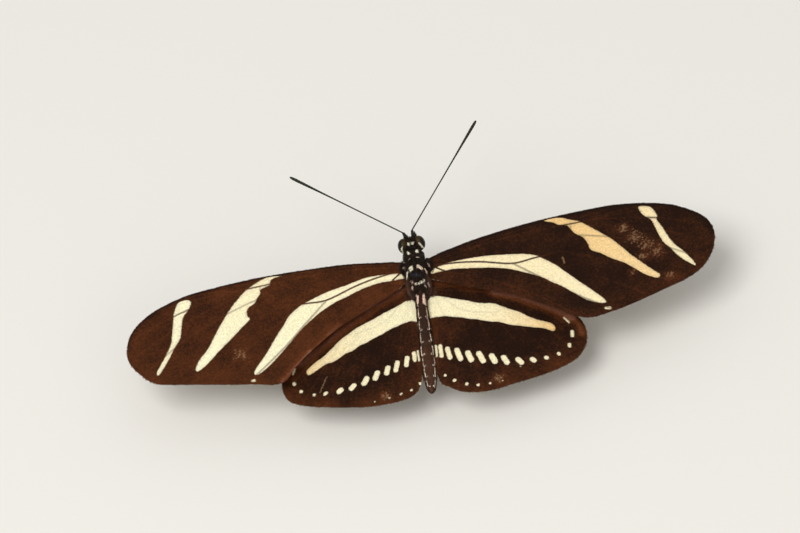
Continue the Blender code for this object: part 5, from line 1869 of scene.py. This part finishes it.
class BUTTERFLY_OT_stage(bpy.types.Operator):
    """Set the floor, the lights and the camera"""

    bl_idname = "butterfly.stage"
    bl_label = "Stage"

    def execute(self, context):
        looks = context.scene.butterfly_stage
        bm = bmesh.new()
        bmesh.ops.create_grid(bm, x_segments=1, y_segments=1, size=FLOOR_HALF)
        mesh = mesh_of(bm)
        mesh.materials.append(studio_floor())
        floor = bpy.data.objects.new("floor", mesh)
        context.scene.collection.objects.link(floor)
        soft_light("key_light", KEY_PLACE, KEY_SIZE, looks.key_power)
        soft_light("fill_light", FILL_PLACE, FILL_SIZE, looks.fill_power)
        world = bpy.data.worlds.new("soft_sky")
        world.use_nodes = True
        sky = world.node_tree.nodes["Background"]
        sky.inputs["Color"].default_value = (1.0, 1.0, 1.0, 1.0)
        sky.inputs["Strength"].default_value = looks.sky
        context.scene.world = world
        context.scene.view_settings.view_transform = "Standard"
        camera = bpy.data.cameras.new("camera")
        camera.lens = LENS
        camera.sensor_width = SENSOR
        camera.clip_start = 0.01
        item = bpy.data.objects.new("camera", camera)
        back = CAMERA_RIGHT.cross(CAMERA_UP)
        turn = Matrix((CAMERA_RIGHT, CAMERA_UP, back)).transposed().to_4x4()
        item.matrix_world = Matrix.Translation((CAMERA_PLACE - FOOTPRINT_MIDDLE) * MM) @ turn
        context.scene.collection.objects.link(item)
        context.scene.camera = item
        return {"FINISHED"}


class BUTTERFLY_PT_panel(bpy.types.Panel):
    """The butterfly's pieces, in the sidebar"""

    bl_idname = "BUTTERFLY_PT_panel"
    bl_label = "Zebra Longwing"
    bl_space_type = "VIEW_3D"
    bl_region_type = "UI"
    bl_category = "Butterfly"

    def draw(self, context):
        column = self.layout.column()
        for operator in OPERATORS:
            column.operator(operator.bl_idname)
        for group in GROUPS:
            looks = getattr(context.scene, group)
            for key in looks.__annotations__:
                column.prop(looks, key)


GROUPS = {
    "butterfly_wings": WingLooks,
    "butterfly_body": BodyLooks,
    "butterfly_head": HeadLooks,
    "butterfly_legs": LegLooks,
    "butterfly_stage": StageLooks,
}
OPERATORS = (
    BUTTERFLY_OT_body, BUTTERFLY_OT_eyes, BUTTERFLY_OT_feelers, BUTTERFLY_OT_mouth, BUTTERFLY_OT_legs,
    BUTTERFLY_OT_wings, BUTTERFLY_OT_stage,
)


def register():
    """Add the panel, its buttons and its values to Blender."""
    for group in (*GROUPS.values(), *OPERATORS, BUTTERFLY_PT_panel):
        bpy.utils.register_class(group)
    for name, group in GROUPS.items():
        setattr(bpy.types.Scene, name, PointerProperty(type=group))


def unregister():
    """Take them out again."""
    for name in GROUPS:
        delattr(bpy.types.Scene, name)
    for group in reversed((*GROUPS.values(), *OPERATORS, BUTTERFLY_PT_panel)):
        bpy.utils.unregister_class(group)


def main():
    """Build everything."""
    register()
    bpy.ops.butterfly.body()
    bpy.ops.butterfly.eyes()
    bpy.ops.butterfly.feelers()
    bpy.ops.butterfly.mouth()
    bpy.ops.butterfly.legs()
    bpy.ops.butterfly.wings()
    bpy.ops.butterfly.stage()


if __name__ == "__main__":
    main()
